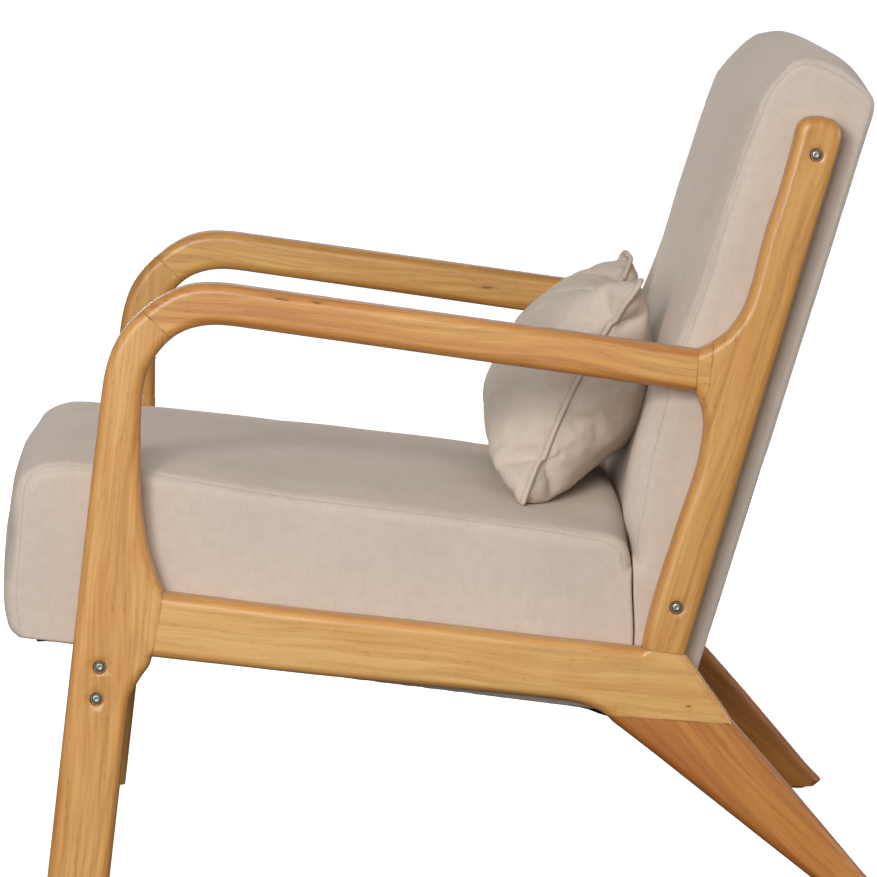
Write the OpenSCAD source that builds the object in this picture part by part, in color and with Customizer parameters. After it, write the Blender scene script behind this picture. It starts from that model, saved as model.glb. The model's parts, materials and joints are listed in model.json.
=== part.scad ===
// Wooden-framed lounge armchair with an upholstered seat and back and a loose
// lumbar pillow.  Millimetres.  X runs across the chair (+X is the sitter's
// left), the chair faces -Y, Z is up and the floor is Z = 0.

/* [Side frames] */
// Width over the two side frames
chair_w = 655; // [640:1:680]
// Thickness of a side frame, across the chair
frame_t = 35; // [30:1:36]
// Radius of the rounding on the free edges of the frame
edge_r = 8; // [3:0.5:8]
// Diameter of the glued dowels
dowel_d = 8; // [6:0.5:8]

/* [Fasteners] */
// Thread diameter of the frame bolts
bolt_d = 6; // [5:0.5:6]
// Diameter of a bolt head
bolt_head_d = 10.5; // [9:0.5:11]
// Diameter of the recess round a bolt head
recess_d = 13; // [12:0.5:14]
// Depth of that recess
recess_depth = 3.5; // [2:0.5:5]

/* [Feet] */
// Diameter of a foot glide
glide_d = 17; // [12:1:20]

/* [Seat] */
// Gap between the upholstery and each side frame
side_gap = 1; // [0.5:0.5:2]
// Thickness of the cover fabric
cover_t = 1.5; // [1:0.5:1.5]
// Radius of the seat's upper side edges
seat_edge_r = 16; // [10:1:18]
// Swell of the seat in the middle of its width
seat_crown = 2; // [0:0.5:3]
// Number of zigzag springs
spring_n = 5; // [3:1:6]
// Wire diameter of the springs
spring_wire = 3.4; // [3:0.2:3.4]

/* [Back] */
// Radius of the back's side edges
back_edge_r = 16; // [10:1:18]
// Swell of the back in the middle of its width
back_crown = 2; // [0:0.5:3]

/* [Pillow] */
// Width of the lumbar pillow, corner to corner
pillow_w = 396; // [340:2:420]
// Height of the pillow, corner to corner
pillow_h = 226; // [200:2:228]
// Thickness of the filled pillow
pillow_t = 126; // [90:2:128]
// Lean of the pillow from upright, in degrees
pillow_lean = 27; // [26:1:28]
// Diameter of the piping round the pillow's seam
piping_d = 4.5; // [3:0.5:5]

/* [Hidden] */

glide_h = 3;          // height of a foot glide
seat_tilt = 7;        // slope of the seat's underside, in degrees
back_lean = 16.5;     // lean of the back from upright, in degrees
half_w = chair_w / 2;
frame_in = half_w - frame_t;          // inner face of a side frame
frame_mid = half_w - frame_t / 2;     // middle plane of a side frame
pad_w = frame_in - side_gap;          // half width of the seat and the back
$fn = 48;

wood = [0.80, 0.60, 0.36];
wood_arm = [0.78, 0.56, 0.33];
wood_dark = [0.66, 0.42, 0.24];
plain_wood = [0.86, 0.76, 0.58];
cloth = [0.78, 0.71, 0.64];
steel = [0.70, 0.71, 0.73];

// ---------------------------------------------------------------- outlines
// Outline points are [y, z, free] in the plane of a side frame, counter-
// clockwise.  free = 1 where the edge that leaves the point is rounded over,
// 0 where it is a glued or flat face.  A point where the rounding runs out, or
// where a glue line meets a hollow corner, adds the directions in which it moves
// with the free edges, [dy, dz], and with the others, [dy, dz] again.

front_leg_o = [
    [-369, 3, 0], [-311, 3, 1], [-291.5, 180, 1], [-289.5, 190, 1],
    [-285.5, 200, 1], [-279, 211, 1], [-272, 221, 1],
    [-269.5, 229, 0, -0.87, 1.09], [-267.93, 238, 0], [-260.58, 280, 0],
    [-259, 289, 1, -0.72, -0.92], [-263, 299, 1], [-268, 313, 1],
    [-272.5, 328, 1], [-276, 346, 1], [-278.5, 366, 1], [-280, 388, 1],
    [-280.5, 415, 1], [-280, 445, 1], [-279, 467, 1], [-277, 485, 1],
    [-273, 499, 1], [-266.5, 510, 1], [-259.5, 519, 1], [-251.5, 526.5, 0],
    [-279, 552, 1], [-290, 541.5, 1], [-298.5, 531, 1], [-305.5, 519, 1],
    [-310.5, 506, 1], [-314, 492, 1], [-316.5, 476, 1], [-320.5, 440, 1],
    [-326, 395, 1]];

arm_o = [
    [-251.5, 526.5, 1], [-243, 532, 1], [-234, 535.6, 1], [-224, 538, 1],
    [-213, 539, 1], [-202, 538.6, 1], [-190, 537.3, 1], [234, 478.8, 0],
    [236, 517.6, 1], [-186, 575, 1], [-198, 576.6, 1], [-210, 577.5, 1],
    [-222, 577.6, 1], [-234, 576.2, 1], [-246, 572.8, 1], [-258, 567, 1],
    [-269, 560, 1], [-279, 552, 0]];

post_block_o = [
    [236, 517.6, 0], [234.5, 488, 0], [234, 478.8, 1, 0.67, 0.92],
    [239, 466.2, 0, 0.59, 1.33], [246, 482, 0],
    [249.9, 524.4, 1, -0.12, -1.27], [247, 522.5, 1]];

back_post_o = [
    [187, 238, 0], [227, 233, 1], [363.5, 702, 1], [365.5, 710, 1],
    [366, 717, 1], [363.5, 724.5, 1], [358, 730.5, 1], [350.5, 734.5, 1],
    [343, 735.3, 1], [336, 732, 1], [331, 725, 1], [326.5, 714, 1],
    [319, 695, 1], [309, 662, 1], [298.5, 629, 1], [291, 600, 1],
    [288, 586, 1], [284, 572, 1], [279.5, 559, 1], [273, 547, 1],
    [265, 536, 1], [257, 529, 1], [249.9, 524.4, 0, -0.12, -1.27],
    [246, 482, 0], [239, 466.2, 1, 0.59, 1.33], [241, 458.5, 1], [242, 447, 1], [241, 433, 1], [238, 415, 1],
    [233.5, 398, 1], [219.5, 356, 1], [209, 323, 1], [199, 291, 1],
    [192, 264, 1]];

side_rail_o = [
    [-269.5, 229, 1], [-120, 212.6, 1], [-60, 206.8, 1], [55, 195.8, 1],
    [105, 190.6, 1], [121, 188.3, 1], [132, 185.4, 1], [142, 181.5, 1],
    [152.5, 176, 0, 0.6, 0.85], [166, 175.11, 0], [273, 168, 1],
    [266, 179, 1], [249, 202.5, 1], [236, 221, 1],
    [227, 233, 0, -1.11, -0.18], [218, 234.1, 0], [196.3, 236.8, 0],
    [187, 238, 1, 0.82, -1.08], [100, 247, 1], [-45, 264, 1],
    [-132, 273, 1], [-259, 289, 0]];

rear_leg_o = [
    [371.5, 3, 0], [405, 3, 1], [412, 9, 1], [397, 24.5, 1], [356, 73, 1],
    [332, 101.3, 1], [299, 139, 1], [273, 168, 0], [152.5, 176, 1],
    [160, 169, 1], [172, 159.8, 1], [200.5, 137.8, 1], [300, 59, 1],
    [342, 26, 1]];

// Side outlines of the seat and of the back, in the same plane
seat_o = [
    [-392, 242, 0], [177, 172.1, 1], [177, 318, 1], [176, 329, 1],
    [172.5, 339.5, 1], [164.5, 346.5, 1], [152, 350, 1], [50, 361.5, 1],
    [-150, 383.5, 1], [-300, 400.2, 1], [-345, 405, 1], [-366, 404.5, 1],
    [-384, 399, 1], [-397.5, 388.5, 1], [-405.5, 375, 1], [-409, 359, 1],
    [-410, 340, 1], [-410, 285, 1], [-407.5, 266, 1], [-401.5, 251.5, 1]];

back_o = [
    [181.5, 172, 0], [226.2, 166.3, 0], [391, 722.5, 1, 0, 0, -0.96, 0.28],
    [395, 736, 1, -0.35, 0, -0.62, 0.1], [395, 750, 1, -0.75, -0.2, -0.22, 0],
    [388, 763.5, 1], [375, 774.5, 1], [358, 782.5, 1],
    [339, 786, 1], [320, 784.5, 1], [304, 777, 1], [292.5, 765, 1],
    [285, 748, 1], [276, 713, 1], [249.5, 632, 1], [226.5, 557, 1],
    [205.5, 483, 1], [194.5, 437, 1], [187.5, 403, 1], [183.5, 372, 1],
    [182, 345, 1], [181.5, 320, 1]];

// Inward normal of an edge, and the place of point i of outline o when its
// free edges move in by a and its other edges by b
function normal_in(p, q) = let(d = [q[0] - p[0], q[1] - p[1]], l = norm(d))
    [-d[1] / l, d[0] / l];
function inset_point(o, i, a, b) = let(
        n = len(o), p = o[(i + n - 1) % n], c = o[i], q = o[(i + 1) % n],
        n0 = normal_in(p, c), n1 = normal_in(c, q),
        d0 = p[2] == 1 ? a : b, d1 = c[2] == 1 ? a : b,
        k = n0 * n1, s = 1 - k * k, xy = [c[0], c[1]])
    len(c) > 5 ? xy + [c[3], c[4]] * a + [c[5], c[6]] * b
    : len(c) > 3 ? xy + [c[3], c[4]] * a
    : s < 0.004 ? xy + (n0 + n1) * max(d0, d1) / (1 + k)
    : xy + n0 * ((d0 - k * d1) / s) + n1 * ((d1 - k * d0) / s);
function ring(o, x, a, b) = [for (i = [0:len(o) - 1])
    let(p = inset_point(o, i, a, b)) [x, p[0], p[1]]];

// Triangles that fill a flat outline p of points [x, y, z] in a plane of constant
// x: the best-shaped ear of the outline left is cut off, again and again
function turn_at(a, b, c) = (b[1] - a[1]) * (c[2] - a[2]) - (b[2] - a[2]) * (c[1] - a[1]);
function ear_shape(p, left, k) = let(
        n = len(left), u = left[(k + n - 1) % n], v = left[k], w = left[(k + 1) % n],
        a = p[u], b = p[v], c = p[w], t = turn_at(a, b, c),
        in_it = t > 0.001 ? [for (j = left) if (j != u && j != v && j != w
            && turn_at(a, b, p[j]) >= 0 && turn_at(b, c, p[j]) >= 0
            && turn_at(c, a, p[j]) >= 0) j] : [0])
    len(in_it) > 0 ? -1 : t / pow(max(norm(b - a), norm(c - b), norm(a - c)), 2);
function filled(p, left) = let(n = len(left)) n < 4 ? [left] : let(
        shape = [for (k = [0:n - 1]) ear_shape(p, left, k)], best = max(shape),
        k = [for (i = [0:n - 1]) if (shape[i] == best) i][0])
    concat([[left[(k + n - 1) % n], left[k], left[(k + 1) % n]]],
           filled(p, [for (i = [0:n - 1]) if (i != k) left[i]]));

// Closed solid through rings of n points each, in order of growing X.  The first
// and the last ring have one outline.
module through_rings(rings) {
    m = len(rings);
    n = len(rings[0]);
    ends = filled(rings[0], [for (i = [0:n - 1]) i]);
    polyhedron(
        points = [for (r = rings) for (p = r) p],
        faces = concat(
            ends,
            [for (f = ends) [for (k = [2:-1:0]) (m - 1) * n + f[k]]],
            [for (j = [0:m - 2]) for (i = [0:n - 1]) [
                j * n + i, (j + 1) * n + (i + 1) % n, j * n + (i + 1) % n]],
            [for (j = [0:m - 2]) for (i = [0:n - 1]) [
                j * n + i, (j + 1) * n + i, (j + 1) * n + (i + 1) % n]]),
        convexity = 8);
}

// A board of the left side frame, rounded over on both faces
module frame_board(o) {
    r = edge_r;
    turn = [90, 60, 30, 0];
    through_rings(concat(
        [for (t = turn) ring(o, frame_in + r - r * sin(t), r - r * cos(t), 0)],
        [for (k = [3:-1:0]) let(t = turn[k])
            ring(o, half_w - r + r * sin(t), r - r * cos(t), 0)]));
}

// An upholstered block between the side frames: w is its half width, r the
// rounding of its side edges, t how far inside the outline it lies
module padded_block(o, w, r, crown, t) {
    right = [[-w, r], [-w + 0.134 * r, 0.5 * r], [-w + 0.5 * r, 0.134 * r],
             [-w + r, 0]];
    middle = [for (k = [-0.6, 0, 0.6]) [k * w, -crown * (1 - 0.7 * abs(k))]];
    left = [for (k = [3:-1:0]) [-right[k][0], right[k][1]]];
    through_rings([for (s = concat(right, middle, left))
        ring(o, s[0], s[1] + t, t)]);
}

// ---------------------------------------------------- dowels, bolts, places
// [y, z, direction y, direction z, length before, length after]
dowels = [
    [-266.8, 244.5, 0.985, -0.172, 20, 20], [-262.4, 270, 0.985, -0.172, 20, 20],
    [-265.3, 539.3, 0.68, 0.733, 20, 20],
    [234.6, 489, 0.998, -0.052, 25, 32], [235.5, 507, 0.998, -0.052, 25, 32],
    [197.5, 236.7, 0.124, 0.992, 22, 22], [216.5, 234.3, 0.124, 0.992, 22, 22],
    [206, 172.5, 0.066, 0.998, 20, 20], [247, 169.7, 0.066, 0.998, 20, 20]];
front_bolt_at = [[-318, 220], [-321, 190]];
back_bolt_at = [[342.5, 699.5], [218, 277.5]];
glide_at = [[-340, 3], [388, 3]];

module dowel_set(d, short) {
    for (p = dowels)
        translate([frame_mid, p[0], p[1]]) rotate([-atan2(p[2], p[3]), 0, 0])
            translate([0, 0, -p[4] + short])
                cylinder(d = d, h = p[4] + p[5] - 2 * short);
}
// The holes that a side frame's boards share
module frame_holes() {
    dowel_set(dowel_d, 0);
    for (p = concat(front_bolt_at, back_bolt_at)) translate([0, p[0], p[1]])
        rotate([0, 90, 0]) {
            translate([0, 0, frame_in - 1]) cylinder(d = bolt_d + 0.6, h = frame_t);
            translate([0, 0, half_w - recess_depth]) cylinder(d = recess_d, h = 10);
        }
    for (p = glide_at) translate([frame_mid, p[0], 0]) cylinder(d = 3.2, h = 18);
}
module board_with_holes(o) difference() { frame_board(o); frame_holes(); }
module other_side() mirror([1, 0, 0]) children();

// ------------------------------------------------------------- side frames
module front_leg() color(wood) board_with_holes(front_leg_o);
module arm() color(wood_arm) board_with_holes(arm_o);
module post_block() color(wood) board_with_holes(post_block_o);
module back_post() color(wood) board_with_holes(back_post_o);
module side_rail() color(wood) board_with_holes(side_rail_o);
module rear_leg() color(wood_dark) board_with_holes(rear_leg_o);
module frame_dowels() color(plain_wood) dowel_set(dowel_d - 0.2, 1);

module front_leg_left() front_leg();
module front_leg_right() other_side() front_leg();
module arm_left() arm();
module arm_right() other_side() arm();
module post_block_left() post_block();
module post_block_right() other_side() post_block();
module back_post_left() back_post();
module back_post_right() other_side() back_post();
module side_rail_left() side_rail();
module side_rail_right() other_side() side_rail();
module rear_leg_left() rear_leg();
module rear_leg_right() other_side() rear_leg();
module frame_dowels_left() frame_dowels();
module frame_dowels_right() other_side() frame_dowels();

module foot_glides() color([0.10, 0.10, 0.10])
    for (s = [-1, 1]) for (p = glide_at) translate([s * frame_mid, p[0], 0])
        rotate_extrude() polygon([[0, 0], [glide_d / 2 - 0.6, 0],
            [glide_d / 2, 0.6], [glide_d / 2, glide_h], [1.5, glide_h],
            [1.5, 16], [0, 17]]);

// ---------------------------------------------------- cross rail and bolts
stretcher_at = [-319.5, 205];
stretcher_lean = 5.7;
stretcher_h = 53;
stretcher_t = 26;
nut_x = frame_in - 34;

module in_stretcher() translate([0, stretcher_at[0], stretcher_at[1]])
    rotate([-stretcher_lean, 0, 0]) children();
module front_stretcher() color(plain_wood) difference() {
    in_stretcher() translate([-frame_in, -stretcher_t / 2, -stretcher_h / 2])
        cube([2 * frame_in, stretcher_t, stretcher_h]);
    for (s = [-1, 1]) for (p = front_bolt_at) translate([0, p[0], p[1]]) {
        translate([s * (frame_in - 25), 0, 0]) rotate([0, 90, 0])
            cylinder(d = bolt_d + 0.6, h = 60, center = true);
        translate([s * nut_x, 0, 0]) rotate([90 - stretcher_lean, 0, 0])
            cylinder(d = 10.2, h = 40, center = true);
    }
    in_stretcher() for (x = seat_screw_x) translate([x, 0, 0]) {
        cylinder(d = 5.4, h = 80, center = true);
        translate([0, 0, -stretcher_h / 2 - 1]) cylinder(d = 11, h = 16);
    }
}
module barrel_nuts() color(steel)
    for (s = [-1, 1]) for (p = front_bolt_at) difference() {
        translate([s * nut_x, p[0], p[1]]) rotate([90 - stretcher_lean, 0, 0])
            cylinder(d = 10, h = 20, center = true);
        translate([s * nut_x, p[0], p[1]]) rotate([0, 90, 0])
            cylinder(d = bolt_d + 0.1, h = 30, center = true);
    }
// A socket-head bolt along +X with its head's seat at x = 0, shank inward
module frame_bolt(l) rotate([0, 90, 0]) difference() {
    union() {
        translate([0, 0, -l]) cylinder(d = bolt_d, h = l);
        rotate_extrude() polygon([[0, 0], [bolt_head_d / 2, 0],
            [bolt_head_d / 2, 1.2], [bolt_head_d / 2 - 0.8, 2.2],
            [bolt_head_d / 2 - 2.2, 3], [0, 3.2]]);
    }
    translate([0, 0, 1.2]) cylinder(d = 4.6, h = 4, $fn = 6);
}
module bolts_at(places, l) color(steel) {
    for (p = places) translate([half_w - recess_depth, p[0], p[1]]) frame_bolt(l);
    for (p = places) other_side()
        translate([half_w - recess_depth, p[0], p[1]]) frame_bolt(l);
}
module front_bolts() bolts_at(front_bolt_at, 76);
module back_bolts() bolts_at(back_bolt_at, 62);

// -------------------------------------------------------------------- seat
// Local axes of the seat: y along its underside to the rear, z square to it
module in_seat() translate([0, -392, 242]) rotate([-seat_tilt, 0, 0]) children();
rail_h = 54;
rail_low = 2;
rail_top = rail_low + rail_h;
inner_w = pad_w - cover_t;
deck_low = 62;
deck_t = 3;
wire_z = 59;

seat_screw_x = [-220, -75, 75, 220];
plate_x = [-190, 190];
plate_screw_y = [547, 597];
// Clearance holes of the plates' screws, in the seat's axes
module plate_screw_holes(h) in_seat() for (x = plate_x) for (y = plate_screw_y)
    for (d = [-10, 10]) translate([x + d, y, -10]) cylinder(d = 4.6, h = h);
module seat_board(x, y, sx, sy, z = rail_low, sz = rail_h) color(plain_wood)
    in_seat() translate([x, y, z]) cube([sx, sy, sz]);
module seat_front_rail() seat_board(-inner_w + 2, 14, 2 * inner_w - 4, 20);
module seat_rear_rail() color(plain_wood) difference() {
    seat_board(-inner_w + 2, 536, 2 * inner_w - 4, 20);
    plate_screw_holes(32);
}
module seat_side_rail() seat_board(inner_w - 22, 34, 20, 502);
module seat_side_rail_left() seat_side_rail();
module seat_side_rail_right() other_side() seat_side_rail();
module seat_bearer() color(plain_wood) difference() {
    in_seat() translate([-inner_w + 22, 52, rail_low])
        cube([2 * inner_w - 44, 48, 20]);
    in_stretcher() for (x = seat_screw_x) translate([x, 0, 0])
        cylinder(d = 4.4, h = 140, center = true);
}
module corner_block() translate([inner_w - 22, 34, 30]) rotate([0, 0, 90])
    linear_extrude(20) polygon([[0, 0], [55, 0], [0, 55]]);
module seat_corner_blocks() color(plain_wood) in_seat() {
    corner_block();
    mirror([1, 0, 0]) corner_block();
    translate([0, 570, 0]) mirror([0, 1, 0]) corner_block();
    translate([0, 570, 0]) mirror([0, 1, 0]) mirror([1, 0, 0]) corner_block();
}

// A zigzag spring: sides-gon swept along a flat wave that runs front to rear
half_waves = 13;
wave_l = 526;
wave_x = 22;
spring_sides = 6;
function wave_point(k) = let(m = half_waves * 4, f = k / m)
    [wave_x * sin(180 * half_waves * f) * min(1, 6 * f, 6 * (1 - f)), wave_l * f];
module one_spring() {
    m = half_waves * 4;
    path = [for (k = [0:m]) wave_point(k)];
    points = [for (k = [0:m]) let(
            p = path[k], a = path[max(k - 1, 0)], b = path[min(k + 1, m)],
            t = (b - a) / norm(b - a), n = [-t[1], t[0]])
        for (i = [0:spring_sides - 1]) let(g = i * 360 / spring_sides)
            [p[0] + n[0] * cos(g) * spring_wire / 2,
             p[1] + n[1] * cos(g) * spring_wire / 2, sin(g) * spring_wire / 2]];
    n = spring_sides;
    polyhedron(points = points, faces = concat(
        [[for (i = [0:n - 1]) i]],
        [[for (i = [n - 1:-1:0]) m * n + i]],
        [for (k = [0:m - 1]) for (i = [0:n - 1])
            [k * n + i, (k + 1) * n + (i + 1) % n, k * n + (i + 1) % n]],
        [for (k = [0:m - 1]) for (i = [0:n - 1])
            [k * n + i, (k + 1) * n + i, (k + 1) * n + (i + 1) % n]]),
        convexity = 10);
}
spring_x = [for (i = [0:spring_n - 1]) (i - (spring_n - 1) / 2) * 500 / spring_n];
module seat_springs() color([0.45, 0.46, 0.48])
    in_seat() for (x = spring_x) translate([x, 22, wire_z]) one_spring();
module spring_clips() color(steel) in_seat()
    for (x = spring_x) for (y = [18, 538]) difference() {
        translate([x - 9, y, rail_top + 0.1]) cube([18, 14, 5.7]);
        translate([x - 7, y < 100 ? y + 2 : y - 2, wire_z - 1.9]) cube([14, 14, 3.8]);
    }
module seat_deck() color([0.30, 0.30, 0.31]) in_seat()
    translate([-inner_w + 2, 14, deck_low]) cube([2 * inner_w - 4, 540, deck_t]);
module seat_foam() color([0.93, 0.90, 0.78]) difference() {
    padded_block(seat_o, inner_w, seat_edge_r, seat_crown, cover_t);
    in_seat() translate([-400, 13.5, -60]) cube([800, 700, 60 + deck_low + deck_t + 0.3]);
}
module seat_cover() color(cloth) difference() {
    padded_block(seat_o, pad_w, seat_edge_r, seat_crown, 0);
    padded_block(seat_o, inner_w, seat_edge_r, seat_crown, cover_t);
    in_seat() translate([-inner_w + 30, 34, -10]) cube([2 * inner_w - 60, 500, 14]);
    plate_screw_holes(14);
}
module dust_cover() color([0.07, 0.07, 0.07]) difference() {
    in_seat() translate([-inner_w + 12, 14, -1.08]) cube([2 * inner_w - 24, 540, 1]);
    in_stretcher() for (x = seat_screw_x) translate([x, 0, 20]) cylinder(d = 4.6, h = 20);
    plate_screw_holes(14);
}
// Screws up through the cross rail into the bearer
module seat_screws() color(steel) in_stretcher()
    for (x = seat_screw_x) translate([x, 0, -stretcher_h / 2 + 12])
        rotate_extrude() polygon([[0, 0], [4.5, 0], [4.5, 0.8], [2, 3],
            [2, 52], [0, 56]]);

// -------------------------------------------------------------------- back
// Local axes of the back: y square to its rear face, z up along it
module in_back() translate([0, 226.2, 166.3]) rotate([-back_lean, 0, 0]) children();
back_front = -57;
back_rear = -5;
stile_t = 24;
stile_in = inner_w - 2 - stile_t;

module back_board(x, y, z, sx, sy, sz) color(plain_wood)
    in_back() translate([x, y, z]) cube([sx, sy, sz]);
module back_stile() color(plain_wood) difference() {
    in_back() translate([stile_in, back_front, 72])
        cube([stile_t, back_rear - back_front, 500]);
    for (p = back_bolt_at) translate([frame_in - 15, p[0], p[1]]) rotate([0, 90, 0]) {
        cylinder(d = bolt_d + 0.6, h = 60, center = true);
        translate([0, 0, stile_in - frame_in + 14]) cylinder(d = 8.2, h = 11);
    }
}
module back_stile_left() back_stile();
module back_stile_right() other_side() back_stile();
module back_top_rail() back_board(-stile_in, back_front, 566, 2 * stile_in, 52, 32);
module back_bottom_rail() color(plain_wood) difference() {
    back_board(-inner_w + 2, -37, 4, 2 * inner_w - 4, 32, 66);
    plate_screw_holes(36);
}
module back_lumbar_rail() back_board(-stile_in, -40, 196, 2 * stile_in, 22, 45);
module back_tnuts() color(steel)
    for (s = [0, 1]) mirror([s, 0, 0]) for (p = back_bolt_at)
        translate([stile_in, p[0], p[1]]) rotate([0, 90, 0]) difference() {
            union() {
                translate([0, 0, -1.6]) cylinder(d = 19, h = 1.6);
                translate([0, 0, -1.6]) cylinder(d = 8, h = 11);
            }
            translate([0, 0, -5]) cylinder(d = bolt_d + 0.1, h = 30);
        }
module back_webbing() color([0.20, 0.20, 0.22]) in_back()
    for (z = [80, 150, 220, 290, 360, 430, 500])
        translate([-stile_in - 18, back_front - 1.6, z])
            cube([2 * stile_in + 36, 1.5, 50]);
module back_panel() color([0.55, 0.42, 0.28]) in_back()
    translate([-inner_w + 6, back_rear + 0.1, 10]) cube([2 * inner_w - 12, 3, 550]);
module back_foam() color([0.93, 0.90, 0.78]) difference() {
    padded_block(back_o, inner_w, back_edge_r, back_crown, cover_t);
    in_back() translate([-400, back_front - 1.9, -80]) cube([800, 160, 680]);
}
module back_cover() color(cloth) difference() {
    padded_block(back_o, pad_w, back_edge_r, back_crown, 0);
    padded_block(back_o, inner_w, back_edge_r, back_crown, cover_t);
    for (p = back_bolt_at) translate([0, p[0], p[1]]) rotate([0, 90, 0])
        cylinder(d = bolt_d + 1, h = 700, center = true);
    plate_screw_holes(14);
}
// Steel plates under the seat's rear rail and the back's bottom rail
module joining_plates() color(steel) difference() {
    in_seat() for (x = plate_x) translate([x - 20, 538, -4.2]) cube([40, 68, 3]);
    plate_screw_holes(14);
}
module plate_screws() color(steel) in_seat() for (x = plate_x)
    for (y = plate_screw_y) for (d = [-10, 10]) translate([x + d, y, -4.3])
        mirror([0, 0, 1]) rotate_extrude() polygon([[0, -24], [2.1, -20],
            [2.1, 0], [4, 0], [3.4, 1.6], [0, 2.2]]);

// ------------------------------------------------------------------ pillow
// Local axes of the pillow: x across, z along its height, y through it
pillow_y = 131;
pillow_z = 466.5;
pillow_nx = 14;
pillow_nz = 10;
module in_pillow() translate([0, pillow_y, pillow_z])
    rotate([-pillow_lean, 0, 0]) children();
// A place on the pillow: a and b run from -1 to 1, side is 1 or -1, and t is
// how far inside the cover's outer face it lies
function pillow_point(a, b, side, t) = let(
        hx = (pillow_w / 2 - 2.4 * t) * (1 - 0.075 * (1 - b * b)),
        hz = (pillow_h / 2 - 2.4 * t) * (1 - 0.085 * (1 - a * a)),
        th = (pillow_t / 2 - t) * pow((1 - a * a) * (1 - b * b), 0.55))
    [a * hx, side * th, b * hz];
function spaced(i, n) = sin(90 * (2 * i / n - 1));
function boundary_index(nx, nz) = concat(
    [for (i = [0:nx - 1]) [i, 0]], [for (j = [0:nz - 1]) [nx, j]],
    [for (i = [nx:-1:1]) [i, nz]], [for (j = [nz:-1:1]) [0, j]]);
module pillow_body(t) {
    nx = pillow_nx;
    nz = pillow_nz;
    rim = boundary_index(nx, nz);
    nr = len(rim);
    // rim points first, then the inner points of the rear and front faces
    inner = [for (j = [1:nz - 1]) for (i = [1:nx - 1]) [i, j]];
    ni = len(inner);
    points = concat(
        [for (q = rim) pillow_point(spaced(q[0], nx), spaced(q[1], nz), 0, t)],
        [for (q = inner) pillow_point(spaced(q[0], nx), spaced(q[1], nz), 1, t)],
        [for (q = inner) pillow_point(spaced(q[0], nx), spaced(q[1], nz), -1, t)]);
    function at(i, j, s) = j == 0 ? (i < nx ? i : nx)
        : i == nx ? nx + j
        : j == nz ? nx + nz + (nx - i)
        : i == 0 ? 2 * nx + nz + (nz - j)
        : nr + s * ni + (j - 1) * (nx - 1) + i - 1;
    // each cell is cut along the diagonal that points to the pillow's middle
    polyhedron(points = points, faces = [
        for (s = [0, 1]) for (j = [0:nz - 1]) for (i = [0:nx - 1]) let(
            a = at(i, j, s), b = at(i + 1, j, s), c = at(i + 1, j + 1, s),
            d = at(i, j + 1, s),
            cut = (2 * i + 1 - nx) * (2 * j + 1 - nz) > 0
                ? [[a, b, c], [a, c, d]] : [[a, b, d], [b, c, d]])
        for (f = cut) s == 0 ? f : [f[2], f[1], f[0]]], convexity = 6);
}
module pillow_cover() color(cloth) in_pillow() difference() {
    pillow_body(0);
    pillow_body(cover_t);
}
module pillow_insert() color([0.96, 0.96, 0.94]) in_pillow() pillow_body(cover_t + 0.2);
// Outward mitre direction at point k of a closed flat path
function out_at(f, k) = let(m = len(f), n0 = normal_in(f[(k + m - 1) % m], f[k]),
    n1 = normal_in(f[k], f[(k + 1) % m]), s = -1 / (1 + n0 * n1))
    [s * (n0[0] + n1[0]), s * (n0[1] + n1[1])];
// Piping: an 8-sided tube whose inner side touches the cover's rim
module pillow_piping() color(cloth * 0.97) in_pillow() {
    rim = boundary_index(pillow_nx, pillow_nz);
    m = len(rim);
    r = piping_d / 2;
    flat = [for (q = rim) let(p = pillow_point(spaced(q[0], pillow_nx),
        spaced(q[1], pillow_nz), 0, 0)) [p[0], p[2]]];
    points = [for (k = [0:m - 1]) let(o = out_at(flat, k), p = flat[k] + o * (r + 0.15))
        for (i = [0:7]) let(g = i * 45 + 22.5)
            [p[0] + o[0] * r * cos(g), r * sin(g), p[1] + o[1] * r * cos(g)]];
    polyhedron(points = points, faces = concat(
        [for (k = [0:m - 1]) for (i = [0:7]) let(l = (k + 1) % m)
            [k * 8 + i, k * 8 + (i + 1) % 8, l * 8 + (i + 1) % 8]],
        [for (k = [0:m - 1]) for (i = [0:7]) let(l = (k + 1) % m)
            [k * 8 + i, l * 8 + (i + 1) % 8, l * 8 + i]]),
        convexity = 10);
}

front_leg_left();
front_leg_right();
arm_left();
arm_right();
post_block_left();
post_block_right();
back_post_left();
back_post_right();
side_rail_left();
side_rail_right();
rear_leg_left();
rear_leg_right();
frame_dowels_left();
frame_dowels_right();
foot_glides();
front_stretcher();
front_bolts();
barrel_nuts();
back_bolts();
back_tnuts();
seat_front_rail();
seat_rear_rail();
seat_side_rail_left();
seat_side_rail_right();
seat_bearer();
seat_corner_blocks();
seat_springs();
spring_clips();
seat_deck();
seat_foam();
seat_cover();
dust_cover();
seat_screws();
back_stile_left();
back_stile_right();
back_top_rail();
back_bottom_rail();
back_lumbar_rail();
back_webbing();
back_panel();
back_foam();
back_cover();
joining_plates();
plate_screws();
pillow_cover();
pillow_piping();
pillow_insert();
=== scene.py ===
import json
import math

import bmesh
import bpy
import numpy as np
from mathutils import Matrix, Vector, geometry
from mathutils.bvhtree import BVHTree

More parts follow.
